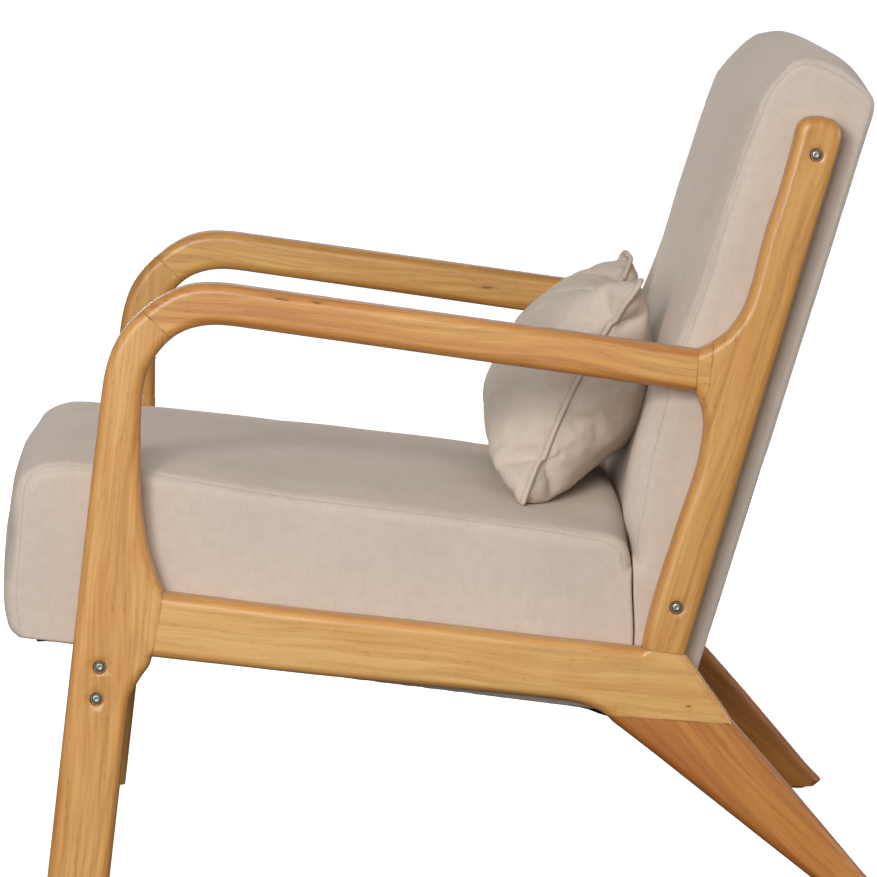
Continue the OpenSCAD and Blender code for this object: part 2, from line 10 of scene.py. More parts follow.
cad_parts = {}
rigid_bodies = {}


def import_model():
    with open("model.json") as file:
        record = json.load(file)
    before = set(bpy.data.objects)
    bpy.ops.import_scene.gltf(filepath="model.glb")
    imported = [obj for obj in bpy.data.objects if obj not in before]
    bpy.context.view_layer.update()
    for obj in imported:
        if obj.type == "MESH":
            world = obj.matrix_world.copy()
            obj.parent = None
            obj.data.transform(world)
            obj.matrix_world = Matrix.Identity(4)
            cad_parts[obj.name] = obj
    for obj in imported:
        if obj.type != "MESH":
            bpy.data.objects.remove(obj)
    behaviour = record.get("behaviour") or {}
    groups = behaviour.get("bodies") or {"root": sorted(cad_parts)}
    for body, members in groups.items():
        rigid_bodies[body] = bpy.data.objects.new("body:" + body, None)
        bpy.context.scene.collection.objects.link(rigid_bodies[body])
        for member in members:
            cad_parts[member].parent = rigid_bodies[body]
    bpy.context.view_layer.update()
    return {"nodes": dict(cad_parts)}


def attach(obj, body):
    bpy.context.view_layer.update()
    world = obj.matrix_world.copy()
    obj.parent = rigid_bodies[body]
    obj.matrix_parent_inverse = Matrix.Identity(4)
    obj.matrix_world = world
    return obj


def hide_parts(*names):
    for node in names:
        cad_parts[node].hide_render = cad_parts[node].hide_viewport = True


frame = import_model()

for o in list(bpy.data.objects):
    if o.name in ("Cube", "Light", "Camera"):
        bpy.data.objects.remove(o)

scene = bpy.context.scene
scene.view_settings.view_transform = "Standard"
scene.view_settings.look = "None"
scene.view_settings.exposure = 0.0
scene.view_settings.gamma = 1.0

# ------------------------------------------------------------------ camera
# Almost square from the sitter's left, a little above the seat
forward = Vector((-0.99342, 0.02594, -0.11156)).normalized()
roll = math.radians(0.380729)
flat_right = forward.cross(Vector((0, 0, 1))).normalized()
flat_up = flat_right.cross(forward)
right = math.cos(roll) * flat_right + math.sin(roll) * flat_up
up = -math.sin(roll) * flat_right + math.cos(roll) * flat_up
camera = bpy.data.objects.new("camera", bpy.data.cameras.new("camera"))
scene.collection.objects.link(camera)
camera.matrix_world = Matrix((
    (right.x, up.x, -forward.x, 5.81593),
    (right.y, up.y, -forward.y, -0.14796),
    (right.z, up.z, -forward.z, 1.05153),
    (0, 0, 0, 1)))
camera.data.sensor_width = 36.0
camera.data.lens = 5966.7613 * 36.0 / 877.0
camera.data.clip_start = 0.1
camera.data.clip_end = 200.0
camera.data.dof.use_dof = False
scene.camera = camera

# --------------------------------------------------------- sizes, in mm
FRAME_T = 35.0
HALF_W = 327.5
FRAME_IN = HALF_W - FRAME_T
FRAME_MID = HALF_W - FRAME_T / 2
PAD_W = FRAME_IN - 1.0
EDGE_R = 9.0
FRONT_BOLTS = [(-318, 220), (-321, 190)]
BACK_BOLTS = [(342.5, 699.5), (218, 277.5)]
SEAT_DEEP = 4.0

# Outlines in the plane of a side frame, as the CAD has them: y, z, and 1 where
# the edge that leaves the point is rounded over, 0 where it is glued or cut flat
BOARDS = {
    "front_leg": [
        (-369, 3, 0), (-311, 3, 1), (-291.5, 180, 1), (-289.5, 190, 1),
        (-285.5, 200, 1), (-279, 211, 1), (-272, 221, 1), (-269.5, 229, 0),
        (-267.9, 238, 0), (-260.6, 280, 0), (-259, 289, 1), (-263, 299, 1),
        (-268, 313, 1), (-272.5, 328, 1), (-276, 346, 1), (-278.5, 366, 1),
        (-280, 388, 1), (-280.5, 415, 1), (-280, 445, 1), (-279, 467, 1),
        (-277, 485, 1), (-273, 499, 1), (-266.5, 510, 1), (-259.5, 519, 1),
        (-251.5, 526.5, 0), (-279, 552, 1), (-290, 541.5, 1), (-298.5, 531, 1),
        (-305.5, 519, 1), (-310.5, 506, 1), (-314, 492, 1), (-316.5, 476, 1),
        (-320.5, 440, 1), (-326, 395, 1)],
    "arm": [
        (-251.5, 526.5, 1), (-243, 532, 1), (-234, 535.6, 1), (-224, 538, 1),
        (-213, 539, 1), (-202, 538.6, 1), (-190, 537.3, 1), (234, 478.8, 0),
        (236, 517.6, 1), (-186, 575, 1), (-198, 576.6, 1), (-210, 577.5, 1),
        (-222, 577.6, 1), (-234, 576.2, 1), (-246, 572.8, 1), (-258, 567, 1),
        (-269, 560, 1), (-279, 552, 0)],
    "post_block": [
        (236, 517.6, 0), (234.5, 488, 0), (234, 478.8, 1), (239, 466.2, 0),
        (246, 482, 0), (249.9, 524.4, 1), (247, 522.5, 1)],
    "back_post": [
        (187, 238, 0), (227, 233, 1), (363.5, 702, 1), (365.8, 711, 1),
        (366.5, 718.5, 1), (364.8, 725.5, 1), (359.5, 731, 1), (351, 733.6, 1),
        (342, 734.6, 1), (335, 733.6, 1), (329, 730.2, 1), (325, 724, 1),
        (322.4, 712, 1), (317.5, 693, 1), (309, 662, 1), (298.5, 629, 1), (291, 600, 1),
        (288, 586, 1), (284, 572, 1), (279.5, 559, 1), (273, 547, 1),
        (265, 536, 1), (257, 529, 1), (249.9, 524.4, 0), (246, 482, 0),
        (239, 466.2, 1), (241, 458.5, 1), (242, 447, 1), (241, 433, 1),
        (238, 415, 1), (233.5, 398, 1), (219.5, 356, 1), (209, 323, 1),
        (199, 291, 1), (192, 264, 1)],
    "side_rail": [
        (-269.5, 229, 1), (-120, 212.6, 1), (-60, 206.8, 1), (55, 195.8, 1),
        (105, 190.6, 1), (121, 188.3, 1), (132, 185.4, 1), (142, 181.5, 1),
        (152.5, 176, 0), (166, 175.1, 0), (273, 168, 1), (266, 179, 1),
        (249, 202.5, 1), (236, 221, 1), (227, 233, 0), (218, 234.1, 0),
        (196.3, 236.8, 0), (187, 238, 1), (100, 247, 1), (-45, 264, 1),
        (-132, 273, 1), (-259, 289, 0)],
    "rear_leg": [
        (371.5, 3, 0), (405, 3, 1), (412, 9, 1), (397, 24.5, 1), (356, 73, 1),
        (332, 101.3, 1), (299, 139, 1), (273, 168, 0), (152.5, 176, 1),
        (160, 169, 1), (172, 159.8, 1), (200.5, 137.8, 1), (300, 59, 1),
        (342, 26, 1)]}
SEAT = [
    (-392, 242, 0), (177.6, 172, 0), (177.6, 318, 1), (176.2, 329, 1),
    (172.5, 339.5, 1), (164.5, 346.5, 1), (152, 350, 1), (50, 361.5, 1),
    (-150, 383.5, 1), (-300, 400.2, 1), (-345, 405, 1), (-366, 404.5, 1),
    (-384, 399, 1), (-397.5, 388.5, 1), (-405.5, 375, 1), (-409, 359, 1),
    (-410, 340, 1), (-410, 285, 1), (-407.5, 266, 1), (-401.5, 251.5, 1)]
BACK = [
    (178.4, 172, 0), (226.2, 166.3, 1), (391, 722.5, 1), (395, 736, 1),
    (395, 750, 1), (388, 763.5, 1), (375, 774.5, 1), (358, 782.5, 1),
    (339, 786, 1), (320, 784.5, 1), (304, 777, 1), (292.5, 765, 1),
    (285, 748, 1), (276, 713, 1), (249.5, 632, 1), (226.5, 557, 1),
    (205.5, 483, 1), (194.5, 437, 1), (187.5, 403, 1), (183.5, 372, 1),
    (181, 345, 1), (178.8, 320, 0)]


# ------------------------------------------------------- outlines as curves
def turn_between(a, b):
    c = float(np.dot(a, b) / (np.linalg.norm(a) * np.linalg.norm(b)))
    return math.degrees(math.acos(max(-1.0, min(1.0, c))))


def spline(points, before, after, step):
    """A curve through points, by centripetal steps; before and after are the
    points beyond its ends.  The last point is left out."""
    full = [before] + points + [after]
    made = []
    for i in range(1, len(full) - 2):
        p0, p1, p2, p3 = full[i - 1:i + 3]
        gap = np.linalg.norm(p2 - p1)
        t0 = 0.0
        t1 = t0 + max(1e-6, np.linalg.norm(p1 - p0)) ** 0.5
        t2 = t1 + gap ** 0.5
        t3 = t2 + max(1e-6, np.linalg.norm(p3 - p2)) ** 0.5
        parts = max(1, int(math.ceil(gap / (step if gap < 30 else 2.4 * step))))
        for k in range(parts):
            t = t1 + (t2 - t1) * k / parts
            a1 = (t1 - t) / (t1 - t0) * p0 + (t - t0) / (t1 - t0) * p1
            a2 = (t2 - t) / (t2 - t1) * p1 + (t - t1) / (t2 - t1) * p2
            a3 = (t3 - t) / (t3 - t2) * p2 + (t - t2) / (t3 - t2) * p3
            b1 = (t2 - t) / (t2 - t0) * a1 + (t - t0) / (t2 - t0) * a2
            b2 = (t3 - t) / (t3 - t1) * a2 + (t - t1) / (t3 - t1) * a3
            made.append((t2 - t) / (t2 - t1) * b1 + (t - t1) / (t2 - t1) * b2)
    return made


def cut_positions(length, near, mid):
    """Places along a straight edge, finer by its ends."""
    ends = [x for x in near if x < length / 2 - 0.4]
    count = max(1, int(round((length - 2 * (ends[-1] if ends else 0)) / mid)))
    start = ends[-1] if ends else 0.0
    middle = [start + (length - 2 * start) * k / count for k in range(1, count)]
    return ends + middle + [length - x for x in reversed(ends)]


def smooth_loop(o, others, step, near, sharp=30.0, mid=4.0):
    """The dense closed outline of o: points (n, 2) and the kind of the edge that
    leaves each of them."""
    n = len(o)
    pts = [np.array(q[:2], float) for q in o]
    kind = [q[2] for q in o]
    held = []
    for i in range(n):
        turn = turn_between(pts[i] - pts[i - 1], pts[(i + 1) % n] - pts[i])
        held.append(kind[i] == 0 or kind[i - 1] == 0 or turn > sharp)
    start = held.index(True)
    loop, kinds = [], []
    i = start
    while True:
        j = (i + 1) % n
        if kind[i] == 0:
            a, b = pts[i], pts[j]
            length = np.linalg.norm(b - a)
            for x in [0.0] + cut_positions(length, near, mid):
                loop.append(a + (b - a) * x / length)
                kinds.append(0)
            i = j
        else:
            run = [pts[i]]
            while True:
                gap = np.linalg.norm(pts[j] - run[-1])
                if gap > 36:
                    d = (pts[j] - run[-1]) / gap
                    run += [run[-1] + 9 * d, pts[j] - 9 * d]
                run.append(pts[j])
                if held[j]:
                    break
                j = (j + 1) % n
            before, after = 2 * run[0] - run[1], 2 * run[-1] - run[-2]
            for other in others:
                m = len(other)
                for k in range(m):
                    q = np.array(other[k][:2], float)
                    if np.linalg.norm(q - run[0]) < 0.01 and other[k - 1][2] == 1:
                        ghost = np.array(other[k - 1][:2], float)
                        if turn_between(run[0] - ghost, run[1] - run[0]) < sharp:
                            d = (ghost - q) / np.linalg.norm(ghost - q)
                            before = q + d * min(9.0, np.linalg.norm(ghost - q))
                    if np.linalg.norm(q - run[-1]) < 0.01 and other[k][2] == 1:
                        ghost = np.array(other[(k + 1) % m][:2], float)
                        if turn_between(run[-1] - run[-2], ghost - run[-1]) < sharp:
                            d = (ghost - q) / np.linalg.norm(ghost - q)
                            after = q + d * min(9.0, np.linalg.norm(ghost - q))
            made = spline(run, before, after, step)
            loop += made
            kinds += [1] * len(made)
            i = j
        if i == start:
            break
    return np.array(loop), np.array(kinds)


def seg_dist(p, a, b):
    """Least distance of points p to the segments a-b, with the segment and the
    place along it."""
    best = np.full(len(p), 1e9)
    which = np.zeros(len(p), int)
    along = np.zeros(len(p))
    if len(a) == 0:
        return best, which, along
    d = b - a
    dd = np.maximum((d * d).sum(1), 1e-12)
    for s in range(0, len(p), 2000):
        q = p[s:s + 2000, None, :]
        t = np.clip(((q - a[None]) * d[None]).sum(2) / dd[None], 0, 1)
        gap = np.sqrt((((a[None] + t[..., None] * d[None]) - q) ** 2).sum(2))
        k = gap.argmin(1)
        rows = np.arange(len(k))
        best[s:s + 2000] = gap[rows, k]
        which[s:s + 2000] = k
        along[s:s + 2000] = t[rows, k]
    return best, which, along


def inside(p, loop):
    x, y = p[:, 0][:, None], p[:, 1][:, None]
    a, b = loop, np.roll(loop, -1, 0)
    ay, by = a[:, 1][None], b[:, 1][None]
    ax, bx = a[:, 0][None], b[:, 0][None]
    crosses = (ay > y) != (by > y)
    with np.errstate(divide="ignore", invalid="ignore"):
        at = ax + (y - ay) * (bx - ax) / (by - ay)
    return (crosses & (x < at)).sum(1) % 2 == 1


def region(loop, kinds, rows, free, flat, flat_rows, grid, circles=()):
    """Fills the flat outline with triangles whose corners lie in rows along the
    free edges, in rows along the glued ones and on a grid between them.
    Returns the points, the triangles and the place of each outline point."""
    n = len(loop)
    nxt = np.roll(loop, -1, 0)
    prv = np.roll(loop, 1, 0)
    t1 = (nxt - loop) / np.linalg.norm(nxt - loop, axis=1)[:, None]
    t0 = (loop - prv) / np.linalg.norm(loop - prv, axis=1)[:, None]
    normal = np.stack([-(t0 + t1)[:, 1], (t0 + t1)[:, 0]], 1)
    normal /= np.maximum(np.linalg.norm(normal, axis=1), 1e-9)[:, None]
    free_point = (kinds == 1) | (np.roll(kinds, 1) == 1)
    wanted = []
    for d in rows:
        p = loop[free_point] + normal[free_point] * d
        if len(p):
            wanted.append((p, np.full(len(p), d)))
    for d in flat_rows:
        at = (kinds == 0) & (np.roll(kinds, 1) == 0)
        p = loop[at] + normal[at] * d
        if len(p):
            wanted.append((p, np.full(len(p), -d)))
    low, high = loop.min(0), loop.max(0)
    ys = np.arange(low[0], high[0] + grid, grid)
    zs = np.arange(low[1], high[1] + grid, grid * 0.866)
    g = np.array([(y + (grid / 2 if k % 2 else 0), z)
                  for k, z in enumerate(zs) for y in ys])
    wanted.append((g, np.zeros(len(g))))
    p = np.concatenate([w[0] for w in wanted])
    d = np.concatenate([w[1] for w in wanted])
    ok = inside(p, loop)
    p, d = p[ok], d[ok]
    df = seg_dist(p, *free)[0]
    dj = seg_dist(p, *flat)[0]
    last = max(rows) if len(rows) else 0
    keep = np.where(
        d > 0, (np.abs(df - d) < 0.03 + 0.04 * d) & (dj > 0.25),
        np.where(d < 0, (np.abs(dj + d) < 0.05) & (df > 0.1),
                 (df > last + 0.45 * grid) & (dj > max([2.0] + list(flat_rows)) + 1)))
    p, d = p[keep], d[keep]
    for c, rings in circles:
        far = np.linalg.norm(p - np.array(c), axis=1) > rings[-1][0] + 2.0
        p = p[far]
    coords = [tuple(q) for q in loop] + [tuple(q) for q in p]
    edges = [(i, (i + 1) % n) for i in range(n)]
    circle_at = []
    for c, rings in circles:
        placed = []
        for radius, count in rings:
            first = len(coords)
            coords += [(c[0] + radius * math.cos(2 * math.pi * k / count),
                        c[1] + radius * math.sin(2 * math.pi * k / count))
                       for k in range(count)]
            edges += [(first + k, first + (k + 1) % count) for k in range(count)]
            placed.append((first, count))
        circle_at.append(placed)
    out = geometry.delaunay_2d_cdt([Vector(c) for c in coords], edges, [], 1, 1e-5, True)
    made = np.array([(v.x, v.y) for v in out[0]])
    back = {}
    for k, origins in enumerate(out[3]):
        for i in origins:
            back[i] = k
    tris = np.array([f for f in out[2] if len(f) == 3])
    a, b, c = made[tris[:, 0]], made[tris[:, 1]], made[tris[:, 2]]
    area = (b[:, 0] - a[:, 0]) * (c[:, 1] - a[:, 1]) - (b[:, 1] - a[:, 1]) * (c[:, 0] - a[:, 0])
    tris[area < 0] = tris[area < 0][:, ::-1]
    tris = tris[(np.abs(area) > 1e-7) & inside(made[tris].mean(1), loop)]
    return made, tris, [back[i] for i in range(n)], [
        [[back[first + k] for k in range(count)] for first, count in placed]
        for placed in circle_at]


def new_object(name, verts, faces, smooth=True):
    mesh = bpy.data.meshes.new(name)
    mesh.from_pydata([tuple(v) for v in verts], [], [tuple(int(i) for i in f) for f in faces])
    mesh.update()
    if smooth:
        mesh.polygons.foreach_set("use_smooth", [True] * len(mesh.polygons))
    obj = bpy.data.objects.new(name, mesh)
    scene.collection.objects.link(obj)
    return obj


def put_attribute(mesh, name, values):
    a = mesh.attributes.new(name, "FLOAT", "POINT")
    a.data.foreach_set("value", np.asarray(values, np.float32))


def smoothstep(x, a, b):
    t = np.clip((x - a) / (b - a), 0, 1)
    return t * t * (3 - 2 * t)


# --------------------------------------------------------------- materials
def srgb(r, g, b):
    return tuple((c / 255 / 12.92) if c / 255 <= 0.04045
                 else ((c / 255 + 0.055) / 1.055) ** 2.4 for c in (r, g, b)) + (1.0,)


class Look:
    """A node material, written as expressions."""

    def __init__(self, name):
        self.mat = bpy.data.materials.new(name)
        self.mat.use_nodes = True
        self.tree = self.mat.node_tree
        self.tree.nodes.clear()
        self.out = self.tree.nodes.new("ShaderNodeOutputMaterial")
        self.bsdf = self.tree.nodes.new("ShaderNodeBsdfPrincipled")
        self.link(self.bsdf.outputs[0], self.out.inputs["Surface"])

    def link(self, a, b):
        self.tree.links.new(a, b)

    def put(self, socket, value):
        if isinstance(value, bpy.types.NodeSocket):
            self.link(value, socket)
        else:
            socket.default_value = value

    def place(self):
        return self.tree.nodes.new("ShaderNodeTexCoord").outputs["Object"]

    def uv(self, name):
        node = self.tree.nodes.new("ShaderNodeUVMap")
        node.uv_map = name
        return node.outputs[0]

    def attribute(self, name):
        node = self.tree.nodes.new("ShaderNodeAttribute")
        node.attribute_name = name
        return node.outputs["Fac"]

    def math(self, op, a, b=0.0, c=0.0, clamp=False):
        node = self.tree.nodes.new("ShaderNodeMath")
        node.operation = op
        node.use_clamp = clamp
        self.put(node.inputs[0], a)
        self.put(node.inputs[1], b)
        self.put(node.inputs[2], c)
        return node.outputs[0]

    def split(self, v):
        node = self.tree.nodes.new("ShaderNodeSeparateXYZ")
        self.link(v, node.inputs[0])
        return node.outputs[0], node.outputs[1], node.outputs[2]

    def join(self, x, y, z):
        node = self.tree.nodes.new("ShaderNodeCombineXYZ")
        for socket, value in zip(node.inputs, (x, y, z)):
            self.put(socket, value)
        return node.outputs[0]

    def turned(self, v, angle, move=(0, 0, 0), size=(1, 1, 1)):
        node = self.tree.nodes.new("ShaderNodeMapping")
        self.link(v, node.inputs["Vector"])
        node.inputs["Rotation"].default_value = (angle, 0, 0)
        node.inputs["Location"].default_value = move
        node.inputs["Scale"].default_value = size
        return node.outputs[0]

    def scaled(self, v, size, move=(0, 0, 0)):
        node = self.tree.nodes.new("ShaderNodeVectorMath")
        node.operation = "MULTIPLY_ADD"
        self.link(v, node.inputs[0])
        node.inputs[1].default_value = size
        node.inputs[2].default_value = move
        return node.outputs[0]

    def noise(self, v, detail=2.0, rough=0.5, scale=1.0, distortion=0.0):
        node = self.tree.nodes.new("ShaderNodeTexNoise")
        self.link(v, node.inputs["Vector"])
        node.inputs["Scale"].default_value = scale
        node.inputs["Detail"].default_value = detail
        node.inputs["Roughness"].default_value = rough
        node.inputs["Distortion"].default_value = distortion
        return node.outputs["Fac"]

    def ramp(self, x, a, b, to_a=0.0, to_b=1.0, smooth=True):
        node = self.tree.nodes.new("ShaderNodeMapRange")
        node.interpolation_type = "SMOOTHSTEP" if smooth else "LINEAR"
        self.put(node.inputs["Value"], x)
        node.inputs["From Min"].default_value = a
        node.inputs["From Max"].default_value = b
        node.inputs["To Min"].default_value = to_a
        node.inputs["To Max"].default_value = to_b
        return node.outputs[0]

    def mix(self, f, a, b, kind="MIX"):
        node = self.tree.nodes.new("ShaderNodeMix")
        node.data_type = "RGBA"
        node.blend_type = kind
        node.clamp_factor = True
        self.put(node.inputs["Factor"], f)
        self.put(node.inputs[6], a)
        self.put(node.inputs[7], b)
        return node.outputs[2]

    def bump(self, height, strength, distance, after=None):
        node = self.tree.nodes.new("ShaderNodeBump")
        node.inputs["Strength"].default_value = strength
        node.inputs["Distance"].default_value = distance
        self.link(height, node.inputs["Height"])
        if after is not None:
            self.link(after, node.inputs["Normal"])
        return node.outputs[0]

    def set(self, **values):
        for name, value in values.items():
            self.put(self.bsdf.inputs[name.replace("_", " ")], value)


def wood(name, along, centre, seed, light, mid, dark, pith=(0.055, 0.02), ring=0.0042,
         lacquer=0.26, ring_depth=0.26, rim_lacquer_and_shade_tint=(0.84, 0.66, 0.52, 1), rim_lacquer_and_shade_depth=0.50,
         knots=()):
    """Lacquered hardwood.  along: the grain's direction in the YZ plane, degrees;
    centre: a point (x, y, z) of the board; pith: where the rings' middle lies."""
    k = Look(name)
    a = math.radians(along)
    # u along the grain, v across it, x through the thickness, from the centre
    cy, cz = centre[1], centre[2]
    move = (-centre[0], -(cy * math.cos(a) + cz * math.sin(a)),
            -(-cy * math.sin(a) + cz * math.cos(a)))
    p = k.turned(k.place(), -a, move)
    x, u, v = k.split(p)
    wave = k.noise(k.scaled(p, (9.0, 2.6, 9.0), (seed, seed * 1.7, 0)), 2.0, 0.5)
    sway = k.math("MULTIPLY", k.math("SUBTRACT", wave, 0.5), 0.050)
    fine_wave = k.noise(k.scaled(p, (60.0, 11.0, 60.0), (seed, 0, 3.1)), 2.0, 0.5)
    sway = k.math("ADD", sway, k.math("MULTIPLY", k.math("SUBTRACT", fine_wave, 0.5), 0.0045))
    vv = k.math("ADD", v, sway)
    dx = k.math("ADD", k.math("ADD", x, pith[0]), k.math("MULTIPLY", u, 0.045))
    dv = k.math("ADD", vv, pith[1])
    r = k.math("SQRT", k.math("ADD", k.math("MULTIPLY", dx, dx), k.math("MULTIPLY", dv, dv)))
    rings = k.math("SINE", k.math("MULTIPLY", r, 2 * math.pi / ring))
    rings = k.math("MULTIPLY_ADD", rings, 0.5, 0.5)
    late = k.math("POWER", rings, 2.6)
    uneven = k.noise(k.scaled(p, (14.0, 1.4, 14.0), (0, seed * 2.3, seed)), 1.0, 0.5)
    late = k.math("MULTIPLY", late, k.ramp(uneven, 0.35, 0.70, 0.15, 1.0))
    broad = k.noise(k.scaled(p, (26.0, 1.9, 26.0), (seed * 3.1, 0, 1.0)), 3.0, 0.55)
    stave = k.ramp(broad, 0.34, 0.66)
    fibre = k.noise(k.scaled(k.join(x, u, vv), (820.0, 17.0, 820.0), (0, seed, 0)), 3.0, 0.62)
    streak = k.noise(k.scaled(k.join(x, u, vv), (170.0, 4.5, 170.0), (seed, 0, 0)), 3.0, 0.6)
    pore = k.noise(k.scaled(k.join(x, u, vv), (640.0, 95.0, 640.0), (seed, 5.0, 0)), 1.0, 0.5)
    pores = k.math("MULTIPLY", k.ramp(pore, 0.60, 0.72), k.ramp(streak, 0.35, 0.62, 0.25, 1.0))
    colour = k.mix(stave, light, mid)
    patch = k.noise(k.scaled(k.join(x, u, vv), (52.0, 9.0, 52.0), (seed * 0.7, 2.0, 9.0)), 2.0, 0.55)
    warm = tuple(c * w for c, w in zip(mid, (1.02, 0.80, 0.66))) + (1.0,)
    colour = k.mix(k.math("MULTIPLY", k.ramp(patch, 0.42, 0.70), 0.42), colour, warm)
    colour = k.mix(k.math("MULTIPLY", k.ramp(streak, 0.38, 0.72), 0.50), colour, dark)
    colour = k.mix(k.math("MULTIPLY", late, ring_depth), colour, dark)
    colour = k.mix(k.math("MULTIPLY", k.ramp(fibre, 0.30, 0.70), 0.22), colour, dark)
    pore_dark = tuple(c * w for c, w in zip(dark, (0.46, 0.38, 0.32))) + (1.0,)
    for ky, kz, length, width in knots:
        # a pin knot: a short dark streak along the grain in a wider, fainter dark halo
        du = k.math("SUBTRACT", u, (ky - cy) * math.cos(a) + (kz - cz) * math.sin(a))
        dk = k.math("SUBTRACT", vv, -(ky - cy) * math.sin(a) + (kz - cz) * math.cos(a))
        far = k.math("ADD", k.math("POWER", k.math("DIVIDE", du, length), 2.0),
                     k.math("POWER", k.math("DIVIDE", dk, width), 2.0))
        colour = k.mix(k.ramp(far, 0.0, 9.0, 0.35, 0.0), colour, dark)
        colour = k.mix(k.ramp(far, 0.2, 1.3, 0.85, 0.0), colour, pore_dark)
    colour = k.mix(k.math("MULTIPLY", pores, 0.22), colour, pore_dark)
    # the rounded edges turn darker and redder: partly lacquer built up on the roundovers, partly painted shade on their
    # turned-away faces
    rim = k.attribute("rim")
    rim_lacquer_and_shade = k.mix(1.0, colour, rim_lacquer_and_shade_tint, "MULTIPLY")
    colour = k.mix(k.math("MULTIPLY", rim, rim_lacquer_and_shade_depth), colour, rim_lacquer_and_shade)
    # glue lines darken the joints between boards; in the bolt recesses the same weight runs up to 2.6 and paints their
    # shade
    glue = k.attribute("glue")
    glued = k.mix(1.0, colour, (0.42, 0.27, 0.17, 1), "MULTIPLY")
    colour = k.mix(k.math("MULTIPLY", glue, 0.30), colour, glued)
    k.put(k.bsdf.inputs["Base Color"], colour)
    rough = k.math("ADD", k.ramp(fibre, 0.2, 0.8, 0.36, 0.50, False), k.math("MULTIPLY", pores, 0.22))
    k.put(k.bsdf.inputs["Roughness"], rough)
    k.set(Coat_Weight=lacquer, Coat_Roughness=0.24, Specular_IOR_Level=0.45)
    height = k.math("ADD", k.math("MULTIPLY", fibre, 0.35),
                    k.math("ADD", k.math("MULTIPLY", late, 0.25), k.math("MULTIPLY", pores, -0.9)))
    k.put(k.bsdf.inputs["Normal"], k.bump(height, 0.30, 0.00018))
    return k.mat


def plain_wood(name, along, seed, light, dark):
    """Unfinished softwood, with faint wide rings.  along: "x", "y" or "z"."""
    k = Look(name)
    x, y, z = k.split(k.place())
    order = {"x": (y, x, z), "y": (x, y, z), "z": (x, z, y)}[along]
    p = k.join(*order)
    broad = k.noise(k.scaled(p, (30.0, 1.6, 30.0), (seed, 0, 0)), 2.0, 0.5)
    fibre = k.noise(k.scaled(p, (600.0, 14.0, 600.0), (0, seed, 0)), 3.0, 0.6)
    band = k.math("SINE", k.math("MULTIPLY", broad, 95.0))
    colour = k.mix(k.ramp(band, -0.2, 1.0), light, dark)
    colour = k.mix(k.math("MULTIPLY", k.ramp(fibre, 0.35, 0.7), 0.35), colour, dark)
    k.put(k.bsdf.inputs["Base Color"], colour)
    k.put(k.bsdf.inputs["Roughness"], k.ramp(fibre, 0.2, 0.8, 0.62, 0.80, False))
    k.put(k.bsdf.inputs["Normal"], k.bump(fibre, 0.35, 0.0003))
    return k.mat


def linen(name, base, light, dark, seed, pitch=0.00095, map_name="weave"):
    """Plain-woven upholstery cloth of uneven yarns; its map is in metres."""
    k = Look(name)
    u, v, _ = k.split(k.uv(map_name))
    p = k.place()
    lean = k.noise(k.scaled(p, (22.0, 22.0, 22.0), (seed, 0, 0)), 2.0, 0.5)
    drift = k.math("MULTIPLY", k.math("SUBTRACT", lean, 0.5), pitch * 3)
    u2, v2 = k.math("ADD", u, drift), k.math("SUBTRACT", v, drift)
    su = k.math("SINE", k.math("MULTIPLY", u2, math.pi / pitch))
    sv = k.math("SINE", k.math("MULTIPLY", v2, math.pi / pitch))
    cross = k.math("MULTIPLY", su, sv)
    warp = k.noise(k.scaled(k.join(u2, v2, 0.0), (620.0, 26.0, 1.0), (seed, 0, 0)), 3.0, 0.6)
    weft = k.noise(k.scaled(k.join(u2, v2, 0.0), (26.0, 620.0, 1.0), (0, seed, 7.0)), 3.0, 0.6)
    slub_a = k.noise(k.scaled(k.join(u2, v2, 0.0), (240.0, 9.0, 1.0), (seed, 2.0, 3.0)), 2.0, 0.5)
    slub_b = k.noise(k.scaled(k.join(u2, v2, 0.0), (9.0, 240.0, 1.0), (1.0, seed, 5.0)), 2.0, 0.5)
    on_top = k.ramp(cross, -0.25, 0.25)
    yarn = k.math("ADD", k.math("MULTIPLY", warp, on_top),
                  k.math("MULTIPLY", weft, k.math("SUBTRACT", 1.0, on_top)))
    slub = k.math("MAXIMUM", k.ramp(slub_a, 0.60, 0.74), k.ramp(slub_b, 0.60, 0.74))
    broad = k.noise(k.scaled(p, (7.0, 7.0, 7.0), (seed, 1.0, 0)), 3.0, 0.55)
    colour = k.mix(k.ramp(yarn, 0.36, 0.64), dark, light)
    colour = k.mix(0.88, colour, base)
    colour = k.mix(k.math("MULTIPLY", slub, 0.07), colour, light)
    colour = k.mix(k.math("MULTIPLY", k.ramp(broad, 0.40, 0.72), 0.16), colour, dark)
    nap = k.noise(k.scaled(p, (85.0, 85.0, 85.0), (seed, 4.0, 0)), 3.0, 0.6)
    colour = k.mix(k.ramp(nap, 0.38, 0.68, 0.0, 0.14), colour, dark)
    holes = k.math("SUBTRACT", 1.0, k.ramp(k.math("ABSOLUTE", cross), 0.02, 0.30))
    colour = k.mix(k.math("MULTIPLY", holes, 0.05), colour, dark)
    # painted shade: the cloth darkens along the seams' grooves
    crease_shade = k.attribute("crease_shade")
    shade = k.mix(1.0, colour, (0.55, 0.50, 0.46, 1), "MULTIPLY")
    colour = k.mix(k.math("MULTIPLY", crease_shade, 0.60), colour, shade)
    k.put(k.bsdf.inputs["Base Color"], colour)
    k.put(k.bsdf.inputs["Roughness"], k.ramp(yarn, 0.2, 0.8, 0.82, 0.94, False))
    k.set(Specular_IOR_Level=0.22, Sheen_Weight=0.22, Sheen_Roughness=0.45)
    k.bsdf.inputs["Sheen Tint"].default_value = light
    height = k.math("ADD", k.math("MULTIPLY", k.math("ABSOLUTE", cross), 0.6),
                    k.math("ADD", k.math("MULTIPLY", yarn, 0.7), k.math("MULTIPLY", slub, 0.8)))
    k.put(k.bsdf.inputs["Normal"], k.bump(height, 0.24, 0.00016))
    return k.mat


